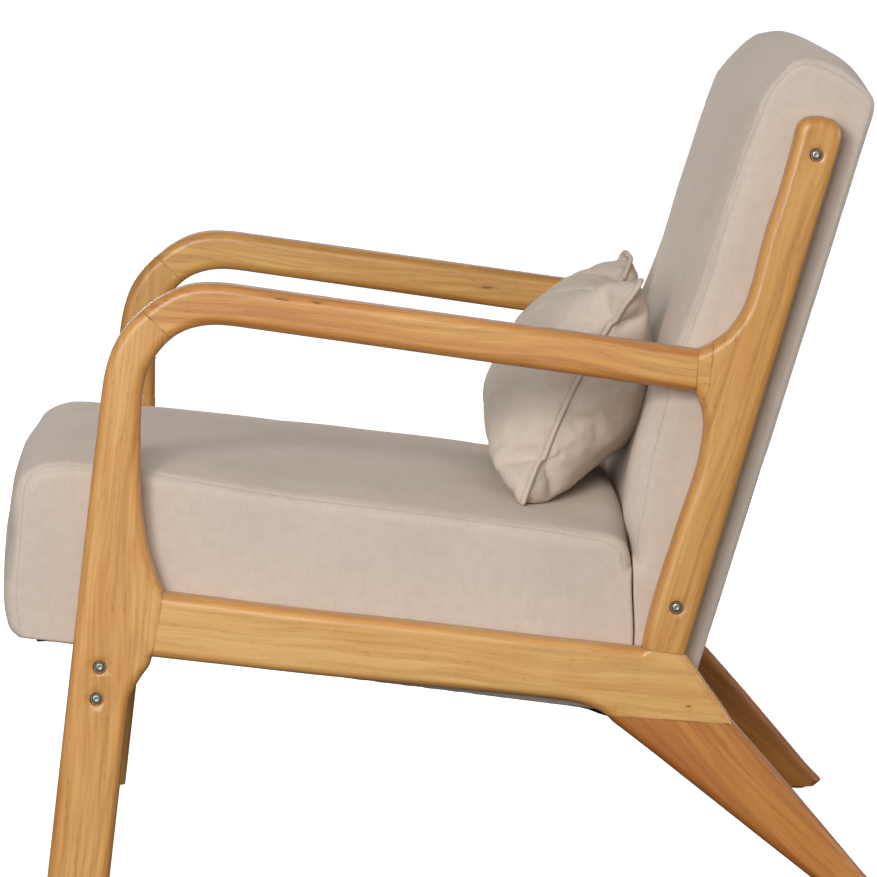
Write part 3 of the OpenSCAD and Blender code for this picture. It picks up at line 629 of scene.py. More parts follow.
def metal(name, base, rough, scratch_scale=900.0):
    k = Look(name)
    p = k.place()
    fine = k.noise(k.scaled(p, (scratch_scale,) * 3), 3.0, 0.6)
    dull = k.noise(k.scaled(p, (160.0,) * 3, (3.0, 1.0, 0)), 2.0, 0.5)
    darker = tuple(c * 0.72 for c in base[:3]) + (1.0,)
    k.put(k.bsdf.inputs["Base Color"], k.mix(k.ramp(dull, 0.35, 0.7), base, darker))
    k.put(k.bsdf.inputs["Roughness"], k.ramp(fine, 0.2, 0.8, rough * 0.8, rough * 1.3, False))
    k.set(Metallic=1.0)
    k.put(k.bsdf.inputs["Normal"], k.bump(fine, 0.12, 0.0001))
    return k.mat


def matt(name, base, other, scale, rough, bump=0.3, depth=0.0004, stretch=(1, 1, 1)):
    """Plastic, foam, board or cloth without a map: mottled, with a fine relief."""
    k = Look(name)
    p = k.place()
    size = tuple(scale * s for s in stretch)
    grain = k.noise(k.scaled(p, size), 3.0, 0.6)
    broad = k.noise(k.scaled(p, (12.0, 12.0, 12.0), (2.0, 0, 0)), 2.0, 0.5)
    colour = k.mix(k.ramp(grain, 0.32, 0.68), base, other)
    colour = k.mix(k.math("MULTIPLY", k.ramp(broad, 0.4, 0.7), 0.25), colour, other)
    k.put(k.bsdf.inputs["Base Color"], colour)
    k.put(k.bsdf.inputs["Roughness"], k.ramp(grain, 0.2, 0.8, rough - 0.06, rough + 0.06, False))
    k.put(k.bsdf.inputs["Normal"], k.bump(grain, bump, depth))
    return k.mat


def woven_black(name, base, other, pitch):
    """Spunbond or webbing cloth: small embossed lozenges in a plane of the chair."""
    k = Look(name)
    x, y, z = k.split(k.place())
    a = k.math("SINE", k.math("MULTIPLY", k.math("ADD", x, y), math.pi / pitch))
    b = k.math("SINE", k.math("MULTIPLY", k.math("SUBTRACT", x, y), math.pi / pitch))
    dots = k.ramp(k.math("MULTIPLY", a, b), 0.15, 0.6)
    fuzz = k.noise(k.scaled(k.place(), (900.0, 900.0, 900.0)), 3.0, 0.7)
    colour = k.mix(k.math("MULTIPLY", k.ramp(fuzz, 0.35, 0.7), 0.7), base, other)
    colour = k.mix(k.math("MULTIPLY", dots, 0.35), colour, other)
    k.put(k.bsdf.inputs["Base Color"], colour)
    k.put(k.bsdf.inputs["Roughness"], k.ramp(fuzz, 0.2, 0.8, 0.78, 0.95, False))
    k.set(Specular_IOR_Level=0.25)
    height = k.math("ADD", k.math("MULTIPLY", dots, -0.8), k.math("MULTIPLY", fuzz, 0.5))
    k.put(k.bsdf.inputs["Normal"], k.bump(height, 0.4, 0.0003))
    return k.mat


# ------------------------------------------------------------- side frames
NEAR = [0.0 + d for d in (0.35, 1.0, 2.0, 3.4, 5.2, 7.2, 9.0)]
ROWS = [EDGE_R * (1 - math.cos(math.radians(a))) for a in (13, 25, 36, 47, 58, 69, 80)] \
    + [EDGE_R, EDGE_R + 1.2, EDGE_R + 4.0]
loops = {}
for part, outline in BOARDS.items():
    others = [q for other, q in BOARDS.items() if other != part]
    loops[part] = smooth_loop(outline, others, 2.5, NEAR)

FLOOR_ENDS = 3.0 + 0.01
free_a, free_b, glued_a, glued_b = [], [], [], []
ends_a, ends_b = [], []
for loop, kinds in loops.values():
    nxt = np.roll(loop, -1, 0)
    for p, q, kk in zip(loop, nxt, kinds):
        if kk == 1:
            free_a.append(p), free_b.append(q)
        elif p[1] < FLOOR_ENDS and q[1] < FLOOR_ENDS:
            ends_a.append(p), ends_b.append(q)
        else:
            glued_a.append(p), glued_b.append(q)
FREE = (np.array(free_a), np.array(free_b))
GLUED = (np.array(glued_a), np.array(glued_b))
ENDS = (np.array(ends_a), np.array(ends_b))


def board_height(p, r=EDGE_R):
    """Half thickness of the side frame at points p, and how near each lies to a
    rounded edge, a glued joint or a cut end."""
    df = seg_dist(p, *FREE)[0]
    dg = seg_dist(p, *GLUED)[0]
    de = seg_dist(p, *ENDS)[0]
    c = np.clip(1 - df / r, 0, 1)
    drop = r * (1 - np.sqrt(np.clip(1 - c ** 2.06, 0, 1)))
    h = FRAME_T / 2 - drop
    h -= 0.05 * np.exp(-(dg / 0.7) ** 2)
    h -= 0.8 * np.clip(1 - de / 0.8, 0, 1) ** 2
    # rim weighs the rounded edges' darker tint, partly lacquer and partly painted shade
    rim = 1 - smoothstep(df, 0.25 * r, 1.05 * r)
    glue = np.exp(-(dg / 0.7) ** 2)
    return h, rim, glue


def board(name, part, side, recesses, material):
    loop, kinds = loops[part]
    rings = [(6.5, 28), (6.95, 28)]
    circles = [(c, rings) for c in recesses]
    verts, faces, rims, glues = [], [], [], []
    shared = []
    for sign, holes in ((1, circles), (-1, [])):
        p, tris, edge, placed = region(loop, kinds, ROWS, FREE, GLUED, (0.5, 1.3), 8.0, holes)
        h, rim, glue = board_height(p)
        first = len(verts)
        if sign == 1:
            for (c, _), marks in zip(circles, placed):
                inner = set(marks[0])
                centre = np.array(c)
                mid = p[tris].mean(1)
                tris = tris[np.linalg.norm(mid - centre, axis=1) > 6.49]
                for i in inner:
                    h[i] -= 0.40
        verts += [(side * (FRAME_MID + sign * h[i]), p[i][0], p[i][1]) for i in range(len(p))]
        rims += list(rim)
        glues += list(glue)
        for t in tris:
            faces.append(tuple(first + i for i in (t if sign == 1 else t[::-1])))
        shared.append([first + i for i in edge])
        if sign == 1:
            for (c, _), marks in zip(circles, placed):
                ring = [first + i for i in marks[0]]
                low = len(verts)
                depth = side * (HALF_W - SEAT_DEEP)
                # the recess floor's points get the full rim tint and a glue-line weight of 2.6: painted shade inside
                # the bolt recess
                for i in ring:
                    verts.append((depth, verts[i][1], verts[i][2]))
                    rims.append(1.0), glues.append(2.6)
                m = len(ring)
                for k in range(m):
                    faces.append((ring[(k + 1) % m], ring[k], low + k, low + (k + 1) % m))
                faces.append(tuple(low + k for k in range(m)))
    n = len(loop)
    top, bottom = shared
    mid_first = len(verts)
    for k in range(n):
        a, b = verts[top[k]], verts[bottom[k]]
        for f in (1 / 3, 2 / 3):
            verts.append(tuple(a[i] + (b[i] - a[i]) * f for i in range(3)))
            rims.append(rims[top[k]]), glues.append(glues[top[k]])
    for k in range(n):
        j = (k + 1) % n
        chain_k = [top[k], mid_first + 2 * k, mid_first + 2 * k + 1, bottom[k]]
        chain_j = [top[j], mid_first + 2 * j, mid_first + 2 * j + 1, bottom[j]]
        for s in range(3):
            faces.append((chain_j[s], chain_k[s], chain_k[s + 1], chain_j[s + 1]))
    if side < 0:
        faces = [f[::-1] for f in faces]
    used = sorted({i for f in faces for i in f})
    place = {i: k for k, i in enumerate(used)}
    verts = [tuple(c / 1000 for c in verts[i]) for i in used]
    faces = [tuple(place[i] for i in f) for f in faces]
    obj = new_object(name, verts, faces)
    put_attribute(obj.data, "rim", [rims[i] for i in used])
    put_attribute(obj.data, "glue", [glues[i] for i in used])
    # sharp where a glued or cut face meets the outside, and round the recesses
    bm = bmesh.new()
    bm.from_mesh(obj.data)
    for e in bm.edges:
        if len(e.link_faces) == 2 and e.calc_face_angle(0) > math.radians(42):
            e.smooth = False
    bm.to_mesh(obj.data)
    bm.free()
    obj.data.materials.append(material)
    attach(obj, "chair")
    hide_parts(name.replace("_board", ""))
    return obj


HONEY = (srgb(232, 182, 108), srgb(214, 159, 88), srgb(168, 112, 56))
ARM = (srgb(227, 174, 101), srgb(211, 153, 81), srgb(165, 102, 49))
YELLOW = (srgb(232, 186, 113), srgb(218, 167, 97), srgb(181, 128, 67))
POST = (srgb(229, 178, 102), srgb(210, 155, 80), srgb(158, 105, 50))
RED = (srgb(210, 145, 71), srgb(189, 121, 55), srgb(141, 82, 33))
BROWN = (srgb(206, 132, 49), srgb(182, 110, 35), srgb(133, 74, 21))
OCHRE = (srgb(220, 171, 92), srgb(202, 150, 74), srgb(156, 106, 46))

KNOTS = {("arm", "left"): [(-0.1505, 0.5635, 0.009, 0.0011), (-0.118, 0.5606, 0.004, 0.0008)],
         ("side_rail", "left"): [(0.2304, 0.1890, 0.0022, 0.0011), (-0.150, 0.2745, 0.006, 0.0014)],
         ("front_leg", "left"): [(-0.331, 0.330, 0.005, 0.0010)],
         ("arm", "right"): [(0.060, 0.520, 0.006, 0.0012)]}
wood_of = {
    # part: grain direction, a point of the board, tones on the left and the right
    "front_leg": (85.0, (-0.310, 0.250), HONEY, OCHRE, "frame_wood"),
    "arm": (-7.7, (0.0, 0.530), ARM, OCHRE, "arm_wood"),
    "post_block": (-5.0, (0.240, 0.497), HONEY, OCHRE, "frame_wood"),
    "back_post": (73.8, (0.270, 0.480), POST, OCHRE, "frame_wood"),
    "side_rail": (-6.5, (0.0, 0.240), YELLOW, OCHRE, "frame_wood"),
    "rear_leg": (-43.5, (0.290, 0.095), RED, BROWN, "rear_leg_wood")}
for index, (part, (along, middle, left, right_tone, slot_name)) in enumerate(wood_of.items()):
    recesses = [c for c in {"front_leg": FRONT_BOLTS, "back_post": BACK_BOLTS}.get(part, [])]
    for side, word, tone in ((1, "left", left), (-1, "right", right_tone)):
        seed = 3.7 * index + (0.0 if side > 0 else 21.3)
        look = wood(f"{part}_{word}_wood", along, (side * FRAME_MID / 1000, *middle), seed,
                    *tone, pith=(side * 0.055, 0.024 * math.cos(seed)),
                    knots=KNOTS.get((part, word), ()))
        board(f"{part}_{word}_board", part, side, recesses, look)

# ---------------------------------------------------------------- upholstery
COVER_LIGHT, COVER_BASE, COVER_DARK = srgb(227, 214, 202), srgb(210, 196, 184), srgb(179, 164, 151)
cover_look = linen("cover_cloth", COVER_BASE, COVER_LIGHT, COVER_DARK, 1.3)
pillow_look = linen("pillow_cloth", srgb(210, 196, 183), srgb(227, 214, 201), srgb(179, 164, 150), 4.1)
thread_look = matt("seam_thread", srgb(220, 206, 192), srgb(198, 183, 168), 2600.0, 0.80, 0.4, 0.0002)


def padded_solid(outline, edge_at, low_r, spacing, across, crown, axes):
    """A block of foam in its cover: two flat side panels with rolled edges and a
    band round them.  edge_at gives the roll's radius and how far inside the edge
    the seam lies.  Returns what the cloth, the seams and the map need."""
    loop, kinds = smooth_loop(outline, [], spacing, [2.0, 5.0, 10.0], 34.0, spacing * 1.4)
    nxt = np.roll(loop, -1, 0)
    free = (loop[kinds == 1], nxt[kinds == 1])
    low = (loop[kinds == 0], nxt[kinds == 0])
    rows = [0.35, 0.9, 1.6, 2.4, 3.3, 4.3, 5.4, 6.6, 7.9, 9.3, 10.8, 12.4, 14.2, 16.4, 19.5,
            24, 30, 38]
    p, tris, edge, _ = region(loop, kinds, rows, free, low, (1.2, 2.6, 5.0), spacing * 1.45)
    df, which, part = seg_dist(p, *free)
    dl = seg_dist(p, *low)[0]
    r, inset = edge_at(free[0][which] + (free[1] - free[0])[which] * part[:, None])
    seam = np.arccos(1 - inset / r)
    roll_free = r * (1 - np.sqrt(np.clip(1 - np.clip(1 - df / r, 0, 1) ** 2, 0, 1)))
    roll_low = low_r * (1 - np.sqrt(np.clip(1 - np.clip(1 - dl / low_r, 0, 1) ** 2, 0, 1)))
    x = PAD_W - np.maximum(roll_free, roll_low)
    # length along the outline, for the band's map
    steps = np.linalg.norm(nxt - loop, axis=1)
    starts = np.concatenate([[0], np.cumsum(steps)[:-1]])
    free_starts = starts[kinds == 1]
    free_steps = steps[kinds == 1]
    length_at = free_starts[which] + free_steps[which] * part
    phi = np.arccos(np.clip(1 - df / r, 0, 1))
    arc = np.where(df < r, r * (phi - seam), r * (math.pi / 2 - seam) + df - r)
    # past the ends of the rolled edge there is no seam
    ends = [i for i in range(len(loop)) if kinds[i] != kinds[i - 1]]
    q = free[0][which] + (free[1] - free[0])[which] * part[:, None]
    past = np.min([np.linalg.norm(q - loop[i], axis=1) for i in ends], 0) < 0.02
    arc = np.where(past & (dl < df + 30), np.maximum(arc, 40.0), arc)
    m = len(p)
    verts = [(x[i], p[i][0], p[i][1]) for i in range(m)] + [(-x[i], p[i][0], p[i][1]) for i in range(m)]
    seam_arc = list(arc) + list(arc)
    (oy, oz), turn = axes
    ca, sa = math.cos(math.radians(turn)), math.sin(math.radians(turn))
    side_u = (p[:, 0] - oy) * ca + (p[:, 1] - oz) * sa
    side_v = -(p[:, 0] - oy) * sa + (p[:, 1] - oz) * ca
    faces, maps, panel = [], [], []
    for s in (1, -1):
        off = 0 if s == 1 else m
        for t in tris:
            order = t if s == 1 else t[::-1]
            centre_arc = arc[t].mean()
            faces.append(tuple(off + i for i in order))
            if centre_arc < 0 and df[t].mean() < dl[t].mean() + 2:
                maps.append([(s * (PAD_W - r[i] + r[i] * phi[i]), length_at[i]) for i in order])
                panel.append(1)
            else:
                maps.append([(s * side_u[i] + 700 * s, side_v[i]) for i in order])
                panel.append(0)
    n = len(loop)
    count = int(round(2 * PAD_W / across))
    strips = []
    total = steps.sum()
    tangent = nxt - np.roll(loop, 1, 0)
    outward = np.stack([tangent[:, 1], -tangent[:, 0]], 1)
    outward /= np.linalg.norm(outward, axis=1)[:, None]
    kind_here = np.minimum(kinds, np.roll(kinds, 1))
    for k in range(n):
        a = x[edge[k]]
        chain = [edge[k]]
        for j in range(1, count):
            f = 1 - 2 * j / count
            rise = crown(f, loop[k]) * kind_here[k]
            chain.append(len(verts))
            verts.append((a * f, loop[k][0] + outward[k][0] * rise, loop[k][1] + outward[k][1] * rise))
            seam_arc.append(-(r[edge[k]] * seam[edge[k]] + a * (1 - abs(f))))
        chain.append(m + edge[k])
        strips.append(chain)
    for k in range(n):
        j = (k + 1) % n
        lk, lj = starts[k], starts[k] + steps[k]
        for s in range(count):
            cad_, fj = 1 - 2 * s / count, 1 - 2 * (s + 1) / count
            faces.append((strips[j][s], strips[k][s], strips[k][s + 1], strips[j][s + 1]))
            xa, xb = x[edge[k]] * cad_, x[edge[k]] * fj
            maps.append([(xa, lj), (xa, lk), (xb, lk), (xb, lj)])
            panel.append(1)
    return (np.array(verts) / 1000, faces, np.array(seam_arc) / 1000, maps, panel,
            loop, kinds, total)


def padded_object(name, data):
    verts, faces, seam_arc, maps, panel = data[:5]
    obj = new_object(name, verts, faces)
    uv = obj.data.uv_layers.new(name="weave")
    flat = np.array([c for f in maps for c in f], np.float32) / 1000
    uv.data.foreach_set("uv", flat.ravel())
    put_attribute(obj.data, "seam", seam_arc)
    return obj


def run_cloth(obj, pins, shrinks, frames, pressure, quality=5, tension=18.0, bending=0.4,
              mass=0.25, pin_stiffness=1.0, shrink=0.04, damping=6.0):
    """Swells the closed mesh like a stuffed cover and returns its new points."""
    if pins is not None:
        group = obj.vertex_groups.new(name="pin")
        for i, w in enumerate(pins):
            if w > 0.001:
                group.add([i], float(w), "REPLACE")
    if shrinks is not None:
        tight = obj.vertex_groups.new(name="tight")
        for i, w in enumerate(shrinks):
            if w > 0.001:
                tight.add([i], float(w), "REPLACE")
    mod = obj.modifiers.new("cloth", "CLOTH")
    s = mod.settings
    s.quality = quality
    s.mass = mass
    s.tension_stiffness = tension
    s.compression_stiffness = tension
    s.shear_stiffness = tension * 0.35
    s.bending_stiffness = bending
    s.tension_damping = damping
    s.compression_damping = damping
    s.shear_damping = damping
    s.air_damping = 1.0
    s.use_pressure = True
    s.uniform_pressure_force = pressure
    s.effector_weights.gravity = 0.0
    if pins is not None:
        s.vertex_group_mass = "pin"
        s.pin_stiffness = pin_stiffness
    if shrinks is not None:
        s.vertex_group_shrink = "tight"
        s.shrink_min = 0.0
        s.shrink_max = shrink
    mod.collision_settings.use_collision = False
    mod.collision_settings.use_self_collision = False
    mod.point_cache.frame_start = 1
    mod.point_cache.frame_end = frames + 1
    scene.frame_start, scene.frame_end = 1, frames + 1
    for f in range(1, frames + 1):
        scene.frame_set(f)
    dg = bpy.context.evaluated_depsgraph_get()
    moved = obj.evaluated_get(dg).data
    co = np.zeros(len(moved.vertices) * 3, np.float32)
    moved.vertices.foreach_get("co", co)
    obj.modifiers.remove(mod)
    scene.frame_set(1)
    obj.vertex_groups.clear()
    return co.reshape(-1, 3).astype(float)


def points_of(obj):
    co = np.zeros(len(obj.data.vertices) * 3, np.float32)
    obj.data.vertices.foreach_get("co", co)
    return co.reshape(-1, 3).astype(float)


def set_points(obj, co):
    obj.data.vertices.foreach_set("co", np.asarray(co, np.float32).ravel())
    obj.data.update()


def read_attribute(obj, name):
    a = obj.data.attributes[name]
    w = np.zeros(len(a.data), np.float32)
    a.data.foreach_get("value", w)
    return w.astype(float)


def evened(obj, d, times):
    """The field d at obj's points, averaged with its neighbours' along the edges."""
    e = np.zeros(len(obj.data.edges) * 2, np.int32)
    obj.data.edges.foreach_get("vertices", e)
    a, b = e.reshape(-1, 2).T
    count = np.maximum(np.bincount(a, minlength=len(d)) + np.bincount(b, minlength=len(d)), 1)
    for _ in range(times):
        total = np.stack([np.bincount(a, d[b, i], len(d)) + np.bincount(b, d[a, i], len(d))
                          for i in range(3)], 1)
        d = 0.4 * d + 0.6 * total / count[:, None]
    return d


def normals_of(obj):
    n = np.zeros(len(obj.data.vertices) * 3, np.float32)
    obj.data.vertices.foreach_get("normal", n)
    return n.reshape(-1, 3).astype(float)


def subdivide(obj, levels=1):
    mod = obj.modifiers.new("fine", "SUBSURF")
    mod.levels = mod.render_levels = levels
    mod.uv_smooth = "PRESERVE_BOUNDARIES"
    mod.use_limit_surface = False
    dg = bpy.context.evaluated_depsgraph_get()
    fine = bpy.data.meshes.new_from_object(obj.evaluated_get(dg), preserve_all_data_layers=True, depsgraph=dg)
    obj.modifiers.remove(mod)
    old = obj.data
    obj.data = fine
    fine.name = obj.name
    bpy.data.meshes.remove(old)
    fine.polygons.foreach_set("use_smooth", [True] * len(fine.polygons))


def wobble(p, scale, seed):
    """Smooth repeatable noise at points p, about -1 to 1."""
    q = p * scale + seed * np.array([12.9898, 78.233, 37.719])
    s = np.zeros(len(p))
    for k, (a, b, c, w) in enumerate(((1.0, 0.31, 0.17, 0.5), (-0.43, 1.07, 0.62, 0.35),
                                      (0.71, -0.83, 1.31, 0.3), (1.9, 1.3, -0.7, 0.2))):
        s += w * np.sin(q[:, 0] * a + q[:, 1] * b + q[:, 2] * c + 1.7 * k
                        + 1.3 * np.sin(q[:, 1] * 0.57 * a + q[:, 2] * 0.71 * b - q[:, 0] * 0.33 + k))
    return s / 1.1


def sew_seam(obj, groove, width, seed, fade, pucker=0.00013):
    """Sinks the seam into the cloth, with soft lips and small puckers beside it, and paints shade along its groove."""
    s = read_attribute(obj, "seam")
    p, n = points_of(obj), normals_of(obj)
    here = fade(p)
    groove = groove * here
    lips = 0.14 * groove * np.exp(-((np.abs(s) - 2.3 * width) / (1.2 * width)) ** 2)
    dip = -groove * np.exp(-(s / width) ** 2)
    beside = np.exp(-((np.abs(s) - 0.006) / 0.006) ** 2)
    small = wobble(p, 520.0, seed) * pucker * beside
    wide = wobble(p, 150.0, seed + 3) * pucker * 1.3 * np.exp(-((np.abs(s) - 0.012) / 0.014) ** 2)
    set_points(obj, p + n * (lips + dip + small + wide)[:, None])
    # painted shade along the seam's groove, faded where the seam fades
    crease_shade = 0.40 * here * np.exp(-(s / (0.8 * width)) ** 2)
    put_attribute(obj.data, "crease_shade", crease_shade)


def seam_lines(obj, fade):
    """The seams' lines on the cloth, with the cloth's normals along them."""
    s, p, n = read_attribute(obj, "seam"), points_of(obj), normals_of(obj)
    here = fade(p)
    near = np.abs(s) < 0.008
    links, at = {}, {}
    for face in obj.data.polygons:
        vs = face.vertices
        if not all(near[i] for i in vs):
            continue
        found = []
        for a, b in zip(vs, list(vs[1:]) + [vs[0]]):
            if (s[a] < 0) != (s[b] < 0):
                key = (min(a, b), max(a, b))
                t = s[key[0]] / (s[key[0]] - s[key[1]])
                if here[a] > 0.5:
                    found.append(key)
                    at[key] = (p[key[0]] + (p[key[1]] - p[key[0]]) * t, n[key[0]] + (n[key[1]] - n[key[0]]) * t)
        if len(found) == 2:
            for a, b in (found, found[::-1]):
                links.setdefault(a, []).append(b)
    lines, done = [], set()
    for start in sorted(links, key=lambda q: (len(links[q]) != 1, q)):
        if start in done:
            continue
        line, here_key = [], start
        while here_key is not None:
            done.add(here_key)
            line.append(here_key)
            here_key = next((q for q in links[here_key] if q not in done), None)
        if len(line) > 8:
            lines.append((np.array([at[q][0] for q in line]), np.array([at[q][1] for q in line])))
    return lines


def stitch_row(name, lines, pitch=0.0034, long=0.0026, thick=0.00036):
    """Short threads lying end to end along the seams."""
    verts, faces = [], []
    profile = [(0.0, 0.35, -0.9), (0.16, 0.85, 0.0), (0.5, 1.0, 0.55), (0.84, 0.85, 0.0), (1.0, 0.35, -0.9)]
    for line, normals in lines:
        step = np.concatenate([[0], np.cumsum(np.linalg.norm(np.diff(line, axis=0), axis=1))])
        def on(d):
            q = np.array([np.interp(d, step, line[:, i]) for i in range(3)])
            m = np.array([np.interp(d, step, normals[:, i]) for i in range(3)])
            return q, m / np.linalg.norm(m)
        for k in range(int(step[-1] / pitch)):
            start = k * pitch
            a, _ = on(start)
            b, _ = on(start + long)
            along = (b - a) / np.linalg.norm(b - a)
            first = len(verts)
            for t, wide, lift in profile:
                q, m = on(start + t * long)
                side = np.cross(along, m)
                side /= np.linalg.norm(side)
                for i in range(6):
                    g = math.pi * i / 3
                    verts.append(tuple(q + m * (thick * (lift + wide * math.sin(g)))
                                       + side * (thick * 1.15 * wide * math.cos(g))))
            for r in range(len(profile) - 1):
                for i in range(6):
                    j = (i + 1) % 6
                    faces.append((first + 6 * r + i, first + 6 * r + j, first + 6 * r + 6 + j, first + 6 * r + 6 + i))
            faces.append(tuple(first + i for i in range(5, -1, -1)))
            faces.append(tuple(first + 6 * (len(profile) - 1) + i for i in range(6)))
    obj = new_object(name, verts, faces)
    bm = bmesh.new()
    bm.from_mesh(obj.data)
    bmesh.ops.recalc_face_normals(bm, faces=bm.faces)
    bm.to_mesh(obj.data)
    bm.free()
    obj.data.materials.append(thread_look)
    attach(obj, "chair")
    return obj


def back_front(z):
    return np.interp(z, [160, 320, 372, 437, 557, 632, 713, 790],
                     [178.4, 178.8, 183.5, 194.5, 226.5, 249.5, 276, 300])


def gap_bow(z):
    """The seat and the back press on each other, so their meeting line isn't straight."""
    return 2.4 * np.sin(np.pi * np.clip((z - 178) / 142, 0, 1)) ** 1.2 + 0.5 * np.sin(z * 0.083)


def back_shape(p):
    """The stuffed back leans a little on its panel, and its lower front swells,
    most of all close to its side edges."""
    y, z = p[:, 1] * 1000, p[:, 2] * 1000
    x = np.abs(p[:, 0]) * 1000
    moved = np.zeros_like(p)
    behind = np.interp(z, [168, 240, 420, 600, 720, 745, 775], [0.2, 1.4, 2.8, 3.7, 3.8, 4.2, 5.2])
    ahead = 1 - smoothstep(y - back_front(z), 6, 42)
    tall = np.interp(z, [318, 329, 348, 363, 379, 397, 413, 428, 453, 478, 505, 540, 575],
                     [0.0, 0.6, 8.0, 11.6, 13.0, 13.6, 14.2, 13.6, 11.8, 8.6, 5.0, 1.5, 0.0])
    edge = smoothstep(x, 196, 254) * (1 - 0.45 * smoothstep(x, 270, 289))
    pressed = np.interp(z, [318, 350, 390, 430, 470, 510, 560], [0.0, -1.0, 3.0, 6.0, 5.0, 2.0, 0.0])
    swell = tall * edge - pressed * (1 - smoothstep(x, 150, 225))
    hold = behind * ahead * (1 - smoothstep(z, 480, 590))
    fore = np.interp(z, [560, 620, 700, 717, 737, 748, 757, 775], [0.0, 1.6, 2.6, 1.9, -1.0, -3.0, -5.5, -7.0])
    # the near shoulder is stuffed fuller to the front than the far one
    full = np.clip((p[:, 0] * 1000 - 213) / 76, 0, 1) ** 2
    fore = fore * (1 - 0.6 * full * smoothstep(z, 737, 746))
    moved[:, 1] = behind - swell * ahead - hold - fore * ahead
    arch = np.interp(y, [275, 300, 320, 345, 365, 378, 395, 403], [-4.8, -5.0, -2.2, 4.2, 5.0, 2.2, -5.2, -7.0])
    # the top rounds over towards its side seams
    low = np.interp(y, [328, 340, 350, 360, 370, 379, 388, 397, 403], [0.0, 2.6, 6.0, 8.8, 10.4, 9.6, 6.4, 2.6, 0.5])
    arch = arch - low * np.clip((x - 213) / 76, 0, 1) ** 2
    lift = full * np.interp(y, [284, 296, 308, 318, 330, 344], [0.0, 3.0, 5.5, 5.5, 3.0, 0.0]) * smoothstep(z, 728, 756)
    moved[:, 2] = 1.0 * smoothstep(z, 700, 780) + arch * smoothstep(z, 738, 770) + lift
    moved[:, 1] += gap_bow(z) * (1 - smoothstep(y, 179.5, 190))
    return moved / 1000


def seat_shape(p):
    """The seat's cover: full at the top of its front, flatter below, and its near
    top edge worn a little lower to the rear."""
    x, y, z = p[:, 0] * 1000, p[:, 1] * 1000, p[:, 2] * 1000
    w = np.abs(x)
    moved = np.zeros_like(p)
    front = 1 - smoothstep(y, -386, -340)
    side = smoothstep(w, 20, 215)
    beside = np.interp(z, [241, 245, 259, 278, 306, 334, 362, 378, 391, 402],
                       [-2.5, -4.6, -1.0, 0.0, 2.0, 4.8, 6.2, 4.0, -0.6, -1.0])
    middle = np.interp(z, [245, 300, 335, 356, 386, 398, 406], [-2.5, 0.8, 2.5, 2.2, -3.6, -5.5, -3.5])
    moved[:, 1] = front * (beside * side + middle * (1 - side))
    drop = np.interp(y, [-392, -360, -300, -250, -215, -190, -129, -40, 58, 106, 142, 166, 180],
                     [2.0, 3.3, 4.0, 3.0, 1.0, -0.5, -2.6, -3.0, -5.3, -6.2, -8.5, -10.0, -9.0])
    near = smoothstep(x, 60, 250)
    both = smoothstep(w, 225, 275) * smoothstep(y, 100, 150)
    tall = smoothstep(z, 262, 330)
    moved[:, 2] = drop * np.maximum(near, both) * tall
    moved[:, 2] += 9.0 * (1 - smoothstep(w, 190, 268)) * smoothstep(y, 118, 166) * tall
    top = np.interp(y, [-410, -384, -345, -300, -150, 50, 152, 177], [388, 399, 405, 400.2, 383.5, 361.5, 350, 330])
    moved[:, 2] += 5.8 * (1 - (w / PAD_W) ** 8) * smoothstep(z - top, -34, -6)
    # the pillow's weight sinks into it
    dent = 7.0 * np.exp(-((y - 88) / 44) ** 2) * (1 - smoothstep(w, 202, 262))
    moved[:, 2] -= dent * smoothstep(z - top, -60, -8)
    moved[:, 1] += gap_bow(z) * smoothstep(y, 160, 176)
    return moved / 1000


def seat_edge(q):
    """The radius of the seat's rolled edge and how far inside it the seam lies."""
    y, z = q[:, 0], q[:, 1]
    front = np.interp(z, [245, 287, 315, 344, 362, 377, 391, 399, 404],
                      [11.5, 12.5, 11.5, 11.0, 10.0, 8.5, 5.5, 3.5, 2.6])
    top = np.interp(y, [-373, -328, -271, -129, 58, 142, 166, 177],
                    [2.4, 2.2, 2.6, 4.0, 5.0, 5.6, 6.5, 7.5])
    inset = np.where(y < -376, front, top)
    r = np.where(z < 300, np.interp(z, [242, 262, 300], [9.0, 13.0, 17.0]), 17.0)
    r = np.where(y > 140, np.interp(y, [140, 176], [17.0, 12.0]), r)
    return r, np.minimum(inset, 0.9 * r)


def back_edge(q):
    y, z = q[:, 0], q[:, 1]
    behind = 1 - smoothstep(226.2 + (z - 166.3) * 0.2962 - y, 4, 26)
    behind = np.where(z > 722, smoothstep(y, 352, 388), behind)
    upper = smoothstep(z, 690, 768)
    r = (24.0 - 9.0 * upper) * (1 - behind) + 8.0 * behind
    inset = (3.6 + 1.8 * upper) * (1 - behind) + 2.2 * behind
    inset += 8.0 * (1 - behind) * smoothstep(z, 322, 372) * (1 - smoothstep(z, 430, 560))
    return r, inset


def upholster(name, outline, edge_at, low_r, axes, crown, pins, shape, fade, cap, pressure, seed, nodes):
    data = padded_solid(outline, edge_at, low_r, 7.0, 9.0, crown, axes)
    obj = padded_object(name, data)
    base = points_of(obj)
    s = read_attribute(obj, "seam")
    w = pins(base)
    tight = np.exp(-(s / 0.004) ** 2)
    moved = run_cloth(obj, w, tight, 16, pressure)
    d = moved - base
    size = np.linalg.norm(d, axis=1)
    d *= (np.minimum(size, cap) / np.maximum(size, 1e-9))[:, None]
    base = base + evened(obj, d, 5)
    base = base + shape(base)
    limit = (FRAME_IN - 0.35) / 1000
    base[:, 0] = np.clip(base[:, 0], -limit, limit)
    set_points(obj, base)
    subdivide(obj)
    sew_seam(obj, 0.0005, 0.0010, seed, fade)
    p = points_of(obj)
    p[:, 0] = np.clip(p[:, 0], -limit, limit)
    set_points(obj, p)
    obj.data.materials.append(cover_look)
    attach(obj, "chair")
    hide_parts(*nodes)
    stitch_row(name.replace("upholstery", "seam_stitches"), seam_lines(obj, fade))
    return obj, data


